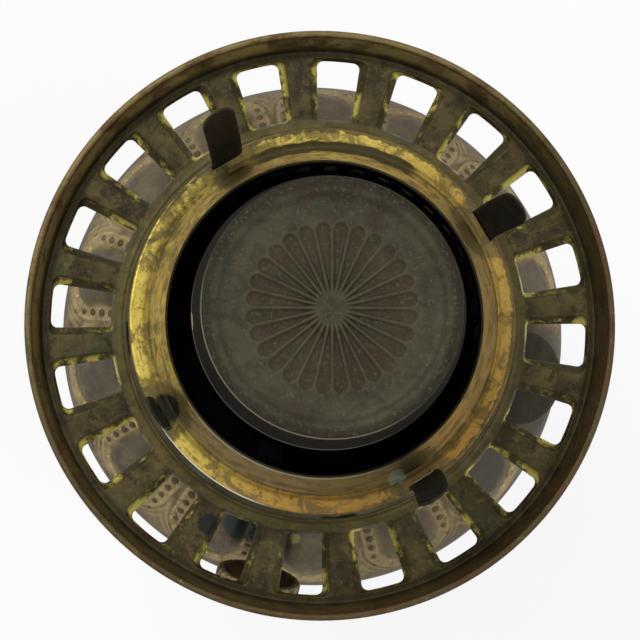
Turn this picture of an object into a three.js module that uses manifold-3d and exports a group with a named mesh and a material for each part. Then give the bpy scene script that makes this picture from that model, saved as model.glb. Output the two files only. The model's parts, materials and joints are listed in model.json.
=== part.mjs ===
// Kerosene lamp font with a central draught burner, its gallery and its flame spreader.
// Lengths are millimetres and angles are degrees. +Z is up, and the origin is the middle of the foot.

import * as THREE from 'three';
import { mergeVertices } from 'three/addons/utils/BufferGeometryUtils.js';
import Module from 'manifold-3d';

const wasm = await Module();
wasm.setup();

// Clearances and cutting
const gap = 0.3;
const overrun = 1;
const weldDistance = 0.0001;

// Facet counts
const bodySegments = 36;
const gallerySegments = 40;
const tubeSegments = 32;
const thimbleSegments = 20;
const smallSegments = 16;
const cornerSteps = 2;
const windowCornerSteps = 1;
const rimBeadPoints = 6;
const seatSlotSteps = 3;
const bowlSteps = 4;
const footHoleSides = 6;

// Wick and the two tubes that hold it
const wickInnerRadius = 19.6;
const wickThickness = 2.7;
const wickLength = 78;
const wickBelowTube = 1.5;
const wickTravel = 10;
const tubeWall = 0.6;
const draftTubeBelowBowl = 5;

// Wick raiser
const raiserAzimuth = 256.7;
const shaftSlope = 15;
const toothCount = 8;
const toothModule = 0.7;
const addendumShare = 0.8;
const dedendumShare = 1.15;
const pinionTipShare = 0.42;
const pinionRootShare = 0.8;
const pressureAngle = 20;
const backlash = 0.25;
const pinionWidth = 1.8;
const rackBack = 1.4;
const shaftRadius = 1.2;
const journalRadius = 0.8;
const shaftHeadRadius = 2.1;
const shaftHeadLength = 0.7;
const bushingWall = 0.6;
const bushingLength = 7.5;
const packingLength = 1;
const nutRadius = 3.3;
const nutLength = 4.2;
const nutEndWall = 0.7;
const knobRadius = 8;
const knobThickness = 4;
const knobRecess = 0.8;
const knobRimWidth = 0.9;
const knobClearance = 0.9;
const knobInset = 1.8;
const knurlCount = 20;
const knurlDepth = 0.25;

// Wick carriage
const carrierHeight = 9;
const carrierTopAboveFoot = 58;
const carrierFlange = 0.9;
const carrierArmMargin = 0.5;
const rackOverlap = 1.8;

// Burner drum, rack housing and the flange on the shoulder
const drumSheet = 0.6;
const drumRoofGap = 0.5;
const drumTail = 1.5;
const drumChamfer = 0.8;
const flangeLip = 0.4;
const housingWall = 0.5;

// Foot, bowl and shoulder
const footHeight = 13;
const footTopRadius = 31;
const footBaseRadius = 36.5;
const footSheet = 0.8;
const footBaseWidth = 2.4;
const footFlangeWidth = 6;
const footHoleCount = 12;
const footHoleWidth = 7;
const footHoleHeight = 5;
const fontSheet = 0.7;
const bellyRadius = 49.1;
const bowlDepth = 62;
const bowlBottomRadius = 27;
const seamLap = 3;
const shoulderRise = 16.2;
const shoulderRim = 1.7;
const shoulderPullShare = 0.46;
const shoulderDropShare = 0.3;
const shoulderHipShare = 0.25;

// Pressed arches round the shoulder
const archCount = 14;
const archAzimuth = 344.7;
const archHeight = 0.5;
const archHalfWidthShare = 0.5;
const archStartShare = 0.06;
const archEndShare = 0.74;
const archStepsPerLobe = 6;
const archSoftStartShare = -0.1;
const archSoftEndShare = 0.35;
const shoulderSteps = 7;
const shoulderInnerSteps = 4;

// Filler
const fillerAzimuth = 346.7;
const fillerPlaceShare = 0.37;
const fillerTilt = 28;
const capRadius = 9.9;
const capBead = 0.7;
const capBeadHeight = 1;
const capSheet = 0.6;
const capDome = 0.5;
const neckWall = 0.7;
const neckAbove = 3.4;
const neckBelow = 2.6;
const gasketThickness = 0.8;
const gasketWidth = 2.6;
const capRise = 2.4;

// Gallery: skirt, windowed plate, rim
const skirtWall = 0.5;
const skirtSlotCount = 16;
const skirtSlotWidth = 4;
const skirtFlangeWidth = 4.2;
const gallerySheet = 0.8;
const windowCount = 20;
const windowAzimuth = 13.9;
const windowHalfAngle = 4.7;
const windowInnerRadius = 38.6;
const windowOuterRadius = 49.6;
const windowCorner = 1.1;
const windowEdgeDepth = 1.6;
const windowEdgeWall = 0.6;
const windowEdgeReach = 1.6;
const windowInnerEdgeShare = 0.45;
const windowOuterEdgeShare = 0.25;
const rimRadius = 54;
const rimRise = 5.8;
const rimBead = 0.65;
const plateOuterRadius = 50.5;
const rimFootRadius = 51.3;
const rimFootRise = 0.9;

// Chimney seat with the draught deflector
const seatSheet = 0.6;
const seatRise = 12.4;
const seatWallFootRadius = 36;
const seatLipRadius = 34.8;
const seatLipBead = 0.35;
const seatInnerRadius = 30.9;
const mouthRadius = 28.4;
const mouthRise = 4.2;
const seatSlotCount = 4;
const seatSlotAzimuth = 5;
const seatSlotWidth = 6.6;
const seatSlotHeight = 8.6;
const seatSlotRise = 1;

// Chimney prongs
const prongAzimuths = [30.9, 121.3, 210.4, 302.2];
const prongTipRadii = [38.9, 40.1, 34.6, 36.4];
const prongLeans = [-1.2, -0.1, 0, -2.1];
const prongWidth = 6;
const prongTipWidth = 6.2;
const prongTipRound = 2.4;
const prongThickness = 0.5;
const prongHeight = 21.5;
const prongFootLength = 8;
const prongSlotExtra = 0.35;
const prongStepShares = [0, 0.3, 0.6, 0.888, 0.935, 0.975, 1];
const prongRoundShare = 2.5;
const prongTipShare = 0.45;

// Flame spreader
const wickTubeAboveSeat = 2;
const flameHeight = 15.1;
const spreaderHeight = 11;
const spreaderTopRadius = 22.6;
const spreaderSkirtRadius = 24;
const spreaderSheet = 0.6;
const spreaderRimWidth = 3.2;
const spreaderDish = 1.5;
const thimbleWall = 0.5;
const thimbleInsertion = 12;
const thimbleBead = 1.1;
const thimbleBeadHeight = 0.5;
const thimbleTopReach = 1.2;
const perforationRows = 2;
const perforationCount = 10;
const perforationRadius = 2;
const perforationMargin = 3;
const perforationSides = 6;

const radians = Math.PI / 180;

// Solids and meshes

function toSolid(geometry) {
  const bare = geometry.clone();
  bare.deleteAttribute('normal');
  bare.deleteAttribute('uv');
  const merged = mergeVertices(bare, weldDistance);
  const index = merged.index.array;
  const points = merged.attributes.position;
  const triangles = [];
  let volume = 0;
  const corners = [new THREE.Vector3(), new THREE.Vector3(), new THREE.Vector3()];
  for (let i = 0; i < index.length; i += 3) {
    const [a, b, c] = [index[i], index[i + 1], index[i + 2]];
    if (a === b || b === c || c === a) continue;
    triangles.push(a, b, c);
    corners.forEach((corner, k) => corner.fromBufferAttribute(points, index[i + k]));
    volume += corners[0].dot(corners[1].clone().cross(corners[2]));
  }
  if (volume < 0) triangles.reverse();
  return new wasm.Manifold(new wasm.Mesh({
    numProp: 3,
    vertProperties: new Float32Array(points.array),
    triVerts: new Uint32Array(triangles),
  }));
}

function toGeometry(solid) {
  const mesh = solid.getMesh();
  const geometry = new THREE.BufferGeometry();
  geometry.setAttribute('position', new THREE.BufferAttribute(new Float32Array(mesh.vertProperties), 3));
  geometry.setIndex(new THREE.BufferAttribute(new Uint32Array(mesh.triVerts), 1));
  geometry.computeVertexNormals();
  return geometry;
}

const model = new THREE.Group();

function addPiece(name, solid, material, group = model) {
  const mesh = new THREE.Mesh(toGeometry(solid), material);
  mesh.name = name;
  group.add(mesh);
  return mesh;
}

// A group of pieces drawn in a frame of their own
function addGroup(matrix) {
  const group = new THREE.Group();
  group.applyMatrix4(matrix);
  model.add(group);
  return group;
}

function finish(color, roughness, metalness) {
  return new THREE.MeshStandardMaterial({ color, roughness, metalness });
}

function joinAll(solids) {
  return solids.reduce((whole, next) => whole.add(next));
}

function cutAll(solid, cutters) {
  return solid.subtract(joinAll(cutters));
}

// A profile is a closed outline of [radius, height] pairs. It turns about +Z.
function revolveGeometry(profile, segments) {
  const points = [...profile, profile[0]].map(([radius, height]) => new THREE.Vector2(radius, height));
  return new THREE.LatheGeometry(points, segments).rotateX(Math.PI / 2);
}

function revolve(profile, segments) {
  return toSolid(revolveGeometry(profile, segments));
}

function tube(innerRadius, outerRadius, low, high, segments) {
  const profile = [[innerRadius, low], [outerRadius, low], [outerRadius, high], [innerRadius, high]];
  return revolve(profile, segments);
}

function rod(radius, low, high, segments) {
  return revolve([[0, low], [radius, low], [radius, high], [0, high]], segments);
}

// A line of [radius, height] pairs moved to the right of its own direction, with mitred corners
function offsetLine(line, distance) {
  return line.map(([radius, height], i) => {
    const before = line[Math.max(i - 1, 0)];
    const after = line[Math.min(i + 1, line.length - 1)];
    const first = unit(radius - before[0], height - before[1]);
    const second = unit(after[0] - radius, after[1] - height);
    const one = first ?? second;
    const two = second ?? first;
    const normal = unit(one[1] + two[1], -one[0] - two[0]);
    const stretch = 1 / (normal[0] * one[1] - normal[1] * one[0]);
    return [radius + normal[0] * distance * stretch, height + normal[1] * distance * stretch];
  });
}

// The outline of a sheet of metal whose one face is the line
function sheetProfile(line, thickness) {
  return [...line, ...offsetLine(line, thickness).reverse()];
}

function unit(x, y) {
  const length = Math.hypot(x, y);
  return length > 0 ? [x / length, y / length] : null;
}

function turned(solid, azimuth) {
  return solid.rotate([0, 0, azimuth]);
}

function extrude(shape, depth, curveSegments) {
  return new THREE.ExtrudeGeometry(shape, { depth, bevelEnabled: false, curveSegments });
}

function boxShape(left, right, bottom, top) {
  const shape = new THREE.Shape();
  shape.moveTo(left, bottom);
  shape.lineTo(right, bottom);
  shape.lineTo(right, top);
  shape.lineTo(left, top);
  return shape;
}

// A slot with round ends, along the second axis of the shape
function slotShape(width, low, high) {
  const radius = width / 2;
  const shape = new THREE.Shape();
  shape.absarc(0, high - radius, radius, 0, Math.PI, false);
  shape.absarc(0, low + radius, radius, Math.PI, 2 * Math.PI, false);
  return shape;
}

// A cutter or piece drawn as seen from outside, pushed inwards from a radius
function radialExtrude(shape, innerRadius, outerRadius, curveSegments) {
  const geometry = extrude(shape, outerRadius - innerRadius, curveSegments);
  const outward = new THREE.Matrix4().makeBasis(
    new THREE.Vector3(0, 1, 0),
    new THREE.Vector3(0, 0, 1),
    new THREE.Vector3(1, 0, 0),
  );
  return toSolid(geometry.applyMatrix4(outward).translate(innerRadius, 0, 0));
}

// Radii that follow from the wick and the raiser

const cosSlope = Math.cos(shaftSlope * radians);
const sinSlope = Math.sin(shaftSlope * radians);
const tanSlope = sinSlope / cosSlope;
const cosTilt = Math.cos(fillerTilt * radians);
const sinTilt = Math.sin(fillerTilt * radians);

const wickOuterRadius = wickInnerRadius + wickThickness;
const draftTubeOuterRadius = wickInnerRadius - gap;
const draftTubeInnerRadius = draftTubeOuterRadius - tubeWall;
const wickTubeInnerRadius = wickOuterRadius + gap;
const wickTubeOuterRadius = wickTubeInnerRadius + tubeWall;

const pitchRadius = toothCount * toothModule / 2;
const pinionTipRadius = pitchRadius + addendumShare * toothModule;
const pinionReach = pinionWidth / 2 * cosSlope + pinionTipRadius * sinSlope;
const pinionRadialPlace = wickTubeOuterRadius + gap + pinionReach;
const rackBackPlace = pitchRadius + dedendumShare * toothModule + rackBack;
const rackOuterRadius = pinionRadialPlace + pinionWidth / 2;
const drumInnerRadius = gap + Math.max(
  pinionRadialPlace + pinionReach,
  Math.hypot(rackOuterRadius, rackBackPlace),
);
const drumOuterRadius = drumInnerRadius + drumSheet;
const skirtInnerRadius = Math.max(
  drumOuterRadius + gap,
  Math.hypot(rackOuterRadius + gap + housingWall, rackBackPlace + gap + housingWall) + gap,
);
const skirtOuterRadius = skirtInnerRadius + skirtWall;
const flangeRadius = skirtOuterRadius + flangeLip;
const shoulderTopRadius = flangeRadius + shoulderRim;
const bushingRadius = shaftRadius + gap + bushingWall;

// Heights, from the foot upwards

const bowlBottom = footHeight + gap;
const bellyHeight = footHeight + bowlDepth;
const shoulderTop = bellyHeight + shoulderRise;
const shoulderSpan = bellyRadius - shoulderTopRadius;
const shoulderCurve = new THREE.CubicBezierCurve(
  new THREE.Vector2(shoulderTopRadius, shoulderTop),
  new THREE.Vector2(
    shoulderTopRadius + shoulderPullShare * shoulderSpan,
    shoulderTop - shoulderDropShare * shoulderRise,
  ),
  new THREE.Vector2(bellyRadius, bellyHeight + shoulderHipShare * shoulderRise),
  new THREE.Vector2(bellyRadius, bellyHeight),
);

function shoulderHeightAt(radius) {
  let low = 0;
  let high = 1;
  for (let i = 0; i < 30; i += 1) {
    const middle = (low + high) / 2;
    if (shoulderCurve.getPoint(middle).x < radius) low = middle;
    else high = middle;
  }
  return shoulderCurve.getPoint(low).y;
}

const flangeBottom = shoulderTop + gap;
const flangeTop = flangeBottom + drumSheet;
const skirtBottom = flangeTop + gap;

// The shaft clears the drum's flange, and the knob at its end clears the shoulder
const knobRadialPlace = bellyRadius - knobInset;
const knobLowRadius = knobRadialPlace - knobRadius * sinSlope;
const knobHeight = Math.max(
  shoulderHeightAt(knobLowRadius) + archHeight + knobClearance + knobRadius * cosSlope,
  flangeTop + gap + bushingRadius / cosSlope - (knobRadialPlace - flangeRadius) * tanSlope,
);
const pinionHeight = knobHeight + (knobRadialPlace - pinionRadialPlace) * tanSlope;
const knobPlace = (knobRadialPlace - pinionRadialPlace) / cosSlope;

// The filler stands on the shoulder and tilts outwards, with its cap clear of the shoulder and of the
// drum's flange
const capLow = archHeight + capSheet;
const capInnerReach = capRadius * cosTilt - capLow * sinTilt;
const fillerRadialPlace = Math.max(
  shoulderTopRadius + fillerPlaceShare * shoulderSpan,
  flangeRadius + gap + capInnerReach,
);
const fillerHeight = Math.max(
  shoulderHeightAt(fillerRadialPlace),
  shoulderHeightAt(fillerRadialPlace - capInnerReach) + archHeight + gap
    - capRadius * sinTilt - capLow * cosTilt,
);
const capWallRadius = capRadius - capBead;
const neckOuterRadius = capWallRadius - capSheet - gap;
const neckInnerRadius = neckOuterRadius - neckWall;
const gasketLow = neckAbove + gap;
const capUnderside = gasketLow + gasketThickness + gap;
const capTop = capUnderside + capSheet;
const raisedCapTop = capTop + capDome + capRise;
const capHeightUnderPlate = fillerHeight + raisedCapTop / cosTilt
  - (seatWallFootRadius - fillerRadialPlace) * sinTilt / cosTilt;

// The gallery plate clears the knob and the raised filler cap
const plateDepth = Math.max(windowEdgeDepth, gallerySheet + gap + seatSheet);
const plateTop = plateDepth + Math.max(
  knobHeight + knobRadius * cosSlope + knobClearance,
  capHeightUnderPlate + gap,
);
const rimTop = plateTop + rimRise;
const ledgeTop = plateTop + seatRise;
const ledgeBottom = ledgeTop - seatSheet;
const wickTubeTop = ledgeTop + wickTubeAboveSeat;
const wickTop = wickTubeTop - wickBelowTube;

const drumRoofBottom = pinionHeight + pinionTipRadius * cosSlope
  + pinionWidth / 2 * sinSlope + drumRoofGap;
const drumRoofTop = drumRoofBottom + drumSheet;
const rackTop = pinionHeight + rackOverlap;
const rackReach = rackTop + wickTravel + pinionWidth / 2 * tanSlope;
const housingTop = rackReach + gap + housingWall;
const carrierTop = carrierTopAboveFoot;
const carrierBottom = carrierTop - carrierHeight;
const wickTubeBottom = carrierTop + wickTravel + overrun;

const seatWallSlope = (seatWallFootRadius - seatLipRadius) / seatRise;
const seatFlangeRadius = windowInnerRadius - windowEdgeReach * windowInnerEdgeShare
  - windowEdgeWall - gap;
const seatFlangeTop = plateTop - gallerySheet - gap;
const skirtFlangeTop = ledgeBottom - gap;

const thimbleOuterRadius = draftTubeInnerRadius - gap;
const thimbleInnerRadius = thimbleOuterRadius - thimbleWall;
const thimbleBottom = wickTubeTop - thimbleInsertion;
const thimbleRest = wickTubeTop + gap;
const spreaderBottom = wickTubeTop + flameHeight;
const spreaderTop = spreaderBottom + spreaderHeight;

// Foot and font

function airFoot() {
  const wallLine = [
    [footTopRadius - footFlangeWidth, footHeight],
    [footTopRadius, footHeight],
    [footBaseRadius, 2 * footSheet],
    [footBaseRadius + footSheet, footSheet],
    [footBaseRadius + footBaseWidth, footSheet],
  ];
  const shell = revolve(sheetProfile(wallLine, footSheet), bodySegments);
  const holeMiddle = footHeight / 2;
  const hole = radialExtrude(
    new THREE.Shape(ovalPoints(footHoleWidth / 2, footHoleHeight / 2, holeMiddle)),
    footTopRadius - footFlangeWidth,
    footBaseRadius + footBaseWidth + overrun,
    1,
  );
  const holes = repeat(footHoleCount, (i) => turned(hole, i * 360 / footHoleCount));
  return cutAll(shell, holes);
}

function repeat(count, make) {
  return Array.from({ length: count }, (_, i) => make(i));
}

function ovalPoints(halfWidth, halfHeight, middleHeight) {
  return repeat(footHoleSides, (i) => {
    const angle = 2 * Math.PI * i / footHoleSides;
    return new THREE.Vector2(halfWidth * Math.cos(angle), middleHeight + halfHeight * Math.sin(angle));
  });
}

function fontBowl() {
  const rim = bellyRadius - fontSheet - gap;
  const side = new THREE.CubicBezierCurve(
    new THREE.Vector2(bowlBottomRadius, bowlBottom),
    new THREE.Vector2(bellyRadius - bowlBottomRadius / 2, bowlBottom),
    new THREE.Vector2(rim, bowlBottom + bowlDepth / 2),
    new THREE.Vector2(rim, bellyHeight - seamLap),
  );
  const line = [
    [draftTubeOuterRadius + gap, bowlBottom],
    ...side.getPoints(bowlSteps).map((point) => [point.x, point.y]),
    [rim, bellyHeight],
  ];
  return revolve(sheetProfile(line, -fontSheet), bodySegments);
}

// How far the pressed arches lift the shoulder at an azimuth and a share of the way down
function archLift(azimuth, downShare) {
  const pitch = 360 / archCount;
  const turn = (azimuth - archAzimuth) / pitch;
  const across = Math.abs(turn - Math.round(turn)) * 2 / archHalfWidthShare;
  const middleShare = (archStartShare + archEndShare) / 2;
  const along = Math.abs(downShare - middleShare) / (archEndShare - middleShare);
  const inside = 1 - Math.max(across, along);
  return archHeight * THREE.MathUtils.smoothstep(inside, archSoftStartShare, archSoftEndShare);
}

function fontShoulder() {
  const curvePoints = shoulderCurve.getPoints(shoulderSteps);
  const outside = [
    [0, bellyHeight - seamLap],
    [bellyRadius, bellyHeight - seamLap],
    ...curvePoints.slice().reverse().map((point) => [point.x, point.y]),
    [0, shoulderTop],
  ];
  const geometry = revolveGeometry(outside, archCount * archStepsPerLobe);
  const points = geometry.attributes.position;
  const ringSize = outside.length + 1;
  for (let i = 0; i < points.count; i += 1) {
    const step = i % ringSize - 2;
    if (step < 0 || step > shoulderSteps) continue;
    const share = 1 - step / shoulderSteps;
    const azimuth = Math.atan2(points.getY(i), points.getX(i));
    const tangent = shoulderCurve.getTangent(share);
    const lift = archLift(azimuth / radians, share);
    points.setXYZ(
      i,
      points.getX(i) - lift * tangent.y * Math.cos(azimuth),
      points.getY(i) - lift * tangent.y * Math.sin(azimuth),
      points.getZ(i) + lift * tangent.x,
    );
  }
  const inner = offsetLine([
    [bellyRadius, bellyHeight - seamLap - overrun],
    ...shoulderCurve.getPoints(shoulderInnerSteps).reverse().map((point) => [point.x, point.y]),
    [drumInnerRadius, shoulderTop],
  ], -fontSheet);
  const inside = [
    [0, bellyHeight - seamLap - overrun],
    ...inner,
    [0, shoulderTop - fontSheet],
  ];
  const mouth = rod(
    drumOuterRadius + gap,
    shoulderTop - shoulderRise / 2,
    shoulderTop + overrun,
    bodySegments,
  );
  return toSolid(geometry).subtract(revolve(inside, bodySegments)).subtract(mouth).subtract(fillerHole());
}

// Filler: local +Z is the axis of the neck, and zero is the surface of the shoulder

function fillerMatrix() {
  const lean = new THREE.Matrix4().makeRotationY(fillerTilt * radians);
  lean.setPosition(fillerRadialPlace, 0, fillerHeight);
  return new THREE.Matrix4().makeRotationZ(fillerAzimuth * radians).multiply(lean);
}

function fillerHole() {
  const reach = neckBelow + neckAbove;
  return rod(neckOuterRadius + gap, -reach, reach, smallSegments).transform(fillerMatrix().toArray());
}

function fillerNeck() {
  return tube(neckInnerRadius, neckOuterRadius, -neckBelow, neckAbove, smallSegments);
}

function fillerGasket() {
  const inner = neckOuterRadius - gasketWidth;
  return tube(inner, neckOuterRadius, gasketLow, gasketLow + gasketThickness, smallSegments);
}

function fillerCap() {
  const wall = capWallRadius;
  return revolve([
    [0, capUnderside],
    [wall - capSheet, capUnderside],
    [wall - capSheet, capLow],
    [capRadius, capLow],
    [capRadius, capLow + capBeadHeight],
    [wall, capLow + capBeadHeight + capBead],
    [wall, capTop - capSheet],
    [wall - capSheet, capTop],
    [wall / 2, capTop + capDome * 3 / 4],
    [0, capTop + capDome],
  ], bodySegments / 2);
}

// Tubes of the burner

function draftTube() {
  const low = bowlBottom - draftTubeBelowBowl;
  return tube(draftTubeInnerRadius, draftTubeOuterRadius, low, wickTubeTop, tubeSegments);
}

function outerWickTube() {
  return tube(wickTubeInnerRadius, wickTubeOuterRadius, wickTubeBottom, wickTubeTop, tubeSegments);
}

function burnerDrum() {
  const collarRadius = wickTubeOuterRadius + gap;
  const shell = revolve([
    [drumInnerRadius, shoulderTop - drumTail],
    [drumOuterRadius, shoulderTop - drumTail],
    [drumOuterRadius, flangeBottom],
    [flangeRadius, flangeBottom],
    [flangeRadius, flangeTop],
    [drumOuterRadius, flangeTop],
    [drumOuterRadius, drumRoofTop - drumChamfer],
    [drumOuterRadius - drumChamfer, drumRoofTop],
    [collarRadius, drumRoofTop],
    [collarRadius, drumRoofBottom],
    [drumInnerRadius, drumRoofBottom],
  ], tubeSegments);
  const bushingHole = rod(
    bushingRadius + gap,
    pinionWidth / 2,
    (skirtOuterRadius - pinionRadialPlace) / cosSlope + overrun,
    smallSegments,
  ).transform(raiserMatrix().toArray());
  const rackHole = rackColumn(gap, drumRoofBottom - overrun, drumRoofTop + overrun);
  return shell.subtract(bushingHole).subtract(rackHole);
}

// The space of the rack, grown by a margin on each side, between two heights
function rackColumn(margin, low, high) {
  const left = -rackBackPlace - margin;
  const right = -(pitchRadius - addendumShare * toothModule) + margin;
  const column = radialExtrude(
    boxShape(left, right, low, high),
    pinionRadialPlace - pinionWidth / 2 - margin,
    rackOuterRadius + margin,
    1,
  );
  return turned(column, raiserAzimuth);
}

function rackHousing() {
  const low = drumRoofTop + gap;
  const outside = rackColumn(gap + housingWall, low, housingTop);
  return outside.subtract(rackColumn(gap, low - overrun, housingTop - housingWall));
}

// Wick raiser: local +Z is the shaft, outwards, and zero is the middle of the pinion

function raiserFrame() {
  const azimuth = raiserAzimuth * radians;
  const radial = new THREE.Vector3(Math.cos(azimuth), Math.sin(azimuth), 0);
  const across = new THREE.Vector3(-Math.sin(azimuth), Math.cos(azimuth), 0);
  const along = radial.clone().multiplyScalar(cosSlope).setZ(-sinSlope);
  const place = radial.clone().multiplyScalar(pinionRadialPlace).setZ(pinionHeight);
  return { radial, across, along, place };
}

function raiserMatrix() {
  const { across, along, place } = raiserFrame();
  const matrix = new THREE.Matrix4().makeBasis(across, along.clone().cross(across), along);
  return matrix.setPosition(place);
}

const toothPitch = Math.PI * toothModule;
const toothHalfWidth = toothPitch / 4 - backlash / 2;

function raiserPinion() {
  const shape = new THREE.Shape();
  const rootRadius = pitchRadius - dedendumShare * toothModule;
  const corners = [
    [rootRadius, -pinionRootShare],
    [pitchRadius, -1],
    [pinionTipRadius, -pinionTipShare],
    [pinionTipRadius, pinionTipShare],
    [pitchRadius, 1],
    [rootRadius, pinionRootShare],
  ];
  repeat(toothCount, (tooth) => corners.forEach(([radius, widthShare], k) => {
    const middle = (tooth + 1 / 2) * 2 * Math.PI / toothCount;
    const angle = middle + widthShare * toothHalfWidth / radius;
    const x = radius * Math.cos(angle);
    const y = radius * Math.sin(angle);
    if (tooth + k === 0) shape.moveTo(x, y);
    else shape.lineTo(x, y);
  }));
  shape.holes.push(circlePath(journalRadius + gap));
  return toSolid(extrude(shape, pinionWidth, 8).translate(0, 0, -pinionWidth / 2));
}

function circlePath(radius) {
  const path = new THREE.Path();
  path.absarc(0, 0, radius, 0, 2 * Math.PI, true);
  return path;
}

function wickRack() {
  const pitchLine = -pitchRadius;
  const tip = pitchLine + addendumShare * toothModule;
  const root = pitchLine - dedendumShare * toothModule;
  const back = -rackBackPlace;
  const height = (rackTop - pinionHeight) * cosSlope;
  const teeth = Math.ceil((wickTravel * cosSlope + 2 * toothPitch) / toothPitch);
  const shape = new THREE.Shape();
  shape.moveTo(back, height);
  const bottom = (carrierBottom + gap + carrierFlange - pinionHeight) * cosSlope;
  shape.lineTo(back, bottom);
  shape.lineTo(root, bottom);
  const flank = Math.tan(pressureAngle * radians) * toothModule;
  const tipHalf = toothHalfWidth - addendumShare * flank;
  const rootHalf = toothHalfWidth + dedendumShare * flank;
  for (let tooth = -teeth; tooth <= 0; tooth += 1) {
    const middle = tooth * toothPitch;
    shape.lineTo(root, middle - rootHalf);
    shape.lineTo(tip, middle - tipHalf);
    shape.lineTo(tip, middle + tipHalf);
    shape.lineTo(root, middle + rootHalf);
  }
  shape.lineTo(root, height);
  const { radial, across, place } = raiserFrame();
  const skew = new THREE.Matrix4().makeBasis(
    across,
    new THREE.Vector3(0, 0, 1 / cosSlope),
    radial.clone().setZ(-tanSlope),
  );
  const geometry = extrude(shape, pinionWidth, 1).translate(0, 0, -pinionWidth / 2);
  return toSolid(geometry.applyMatrix4(skew.setPosition(place)));
}

function raiserShaft() {
  const collar = pinionWidth / 2 + gap;
  const innerHead = -pinionWidth / 2 - gap;
  const knobFace = knobPlace - gap;
  const knobEnd = knobPlace + knobThickness + gap;
  return revolve([
    [0, innerHead - shaftHeadLength / 2],
    [shaftRadius, innerHead - shaftHeadLength / 2],
    [shaftRadius, innerHead],
    [journalRadius, innerHead],
    [journalRadius, collar],
    [shaftRadius, collar],
    [shaftRadius, knobFace - shaftHeadLength],
    [shaftHeadRadius, knobFace - shaftHeadLength],
    [shaftHeadRadius, knobFace],
    [shaftRadius, knobFace],
    [shaftRadius, knobEnd],
    [shaftHeadRadius, knobEnd],
    [shaftHeadRadius - shaftHeadLength / 2, knobEnd + shaftHeadLength],
    [0, knobEnd + shaftHeadLength],
  ], smallSegments);
}

const bushingStart = pinionWidth / 2 + 2 * gap;
const bushingEnd = bushingStart + bushingLength;
const packingStart = bushingEnd + gap;
const nutInside = packingStart + packingLength + gap;
const nutEnd = nutInside + nutEndWall;

function shaftBushing() {
  return tube(shaftRadius + gap, bushingRadius, bushingStart, bushingEnd, smallSegments);
}

function shaftPacking() {
  const packingEnd = packingStart + packingLength;
  return tube(shaftRadius + gap, bushingRadius, packingStart, packingEnd, smallSegments);
}

function packingNut() {
  const hexagon = rod(nutRadius, nutEnd - nutLength, nutEnd, 6);
  const wide = rod(bushingRadius + gap, nutEnd - nutLength - overrun, nutInside, smallSegments);
  const narrow = rod(shaftRadius + gap, nutInside - gap, nutEnd + overrun, smallSegments);
  return hexagon.subtract(wide).subtract(narrow);
}

function raiserKnob() {
  const shape = new THREE.Shape();
  repeat(knurlCount * 2, (i) => {
    const radius = knobRadius - (i % 2) * knurlDepth;
    const angle = Math.PI * i / knurlCount;
    const point = [radius * Math.cos(angle), radius * Math.sin(angle)];
    if (i === 0) shape.moveTo(...point);
    else shape.lineTo(...point);
  });
  shape.holes.push(circlePath(shaftRadius + gap));
  const disc = toSolid(extrude(shape, knobThickness, 6).translate(0, 0, knobPlace));
  const dishRadius = knobRadius - knurlDepth - knobRimWidth;
  const outerFace = knobPlace + knobThickness;
  const dishes = [
    tube(shaftHeadRadius + gap, dishRadius, knobPlace - overrun, knobPlace + knobRecess, smallSegments),
    tube(shaftHeadRadius + gap, dishRadius, outerFace - knobRecess, outerFace + overrun, smallSegments),
  ];
  return cutAll(disc, dishes);
}

// Wick carriage

function wick() {
  return tube(wickInnerRadius, wickOuterRadius, wickTop - wickLength, wickTop, tubeSegments);
}

function wickCarrier() {
  const inner = wickOuterRadius + gap;
  const outer = inner + tubeWall;
  const ring = revolve([
    [inner, carrierBottom],
    [outer + carrierFlange, carrierBottom],
    [outer + carrierFlange, carrierBottom + carrierFlange],
    [outer, carrierBottom + carrierFlange],
    [outer, carrierTop],
    [inner, carrierTop],
  ], tubeSegments);
  const arm = radialExtrude(
    boxShape(
      -rackBackPlace - carrierArmMargin,
      -pitchRadius + carrierArmMargin,
      carrierBottom,
      carrierBottom + carrierFlange - pinionWidth / 2 * tanSlope,
    ),
    outer,
    rackOuterRadius + carrierArmMargin,
    1,
  );
  return ring.add(turned(arm, raiserAzimuth));
}

// Gallery

// The outline of a window's lower edge, grown by the reach of its turned edge and by a wall
function windowOutline(reach, wall) {
  const inner = windowInnerRadius - reach * windowInnerEdgeShare - wall;
  const outer = windowOuterRadius + reach * windowOuterEdgeShare + wall;
  const half = windowHalfAngle * radians + (reach + wall) / inner;
  const turnOut = windowCorner / outer;
  const at = (radius, angle) => [radius * Math.cos(angle), radius * Math.sin(angle)];
  const shape = new THREE.Shape();
  shape.moveTo(...at(inner, half));
  shape.lineTo(...at(inner, -half));
  shape.lineTo(...at(outer - windowCorner, -half));
  shape.quadraticCurveTo(...at(outer, -half), ...at(outer, turnOut - half));
  shape.lineTo(...at(outer, half - turnOut));
  shape.quadraticCurveTo(...at(outer, half), ...at(outer - windowCorner, half));
  return shape.getPoints(windowCornerSteps);
}

function windowSection(reach, wall, height) {
  return windowOutline(reach, wall).map((point) => new THREE.Vector3(point.x, point.y, height));
}

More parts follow.
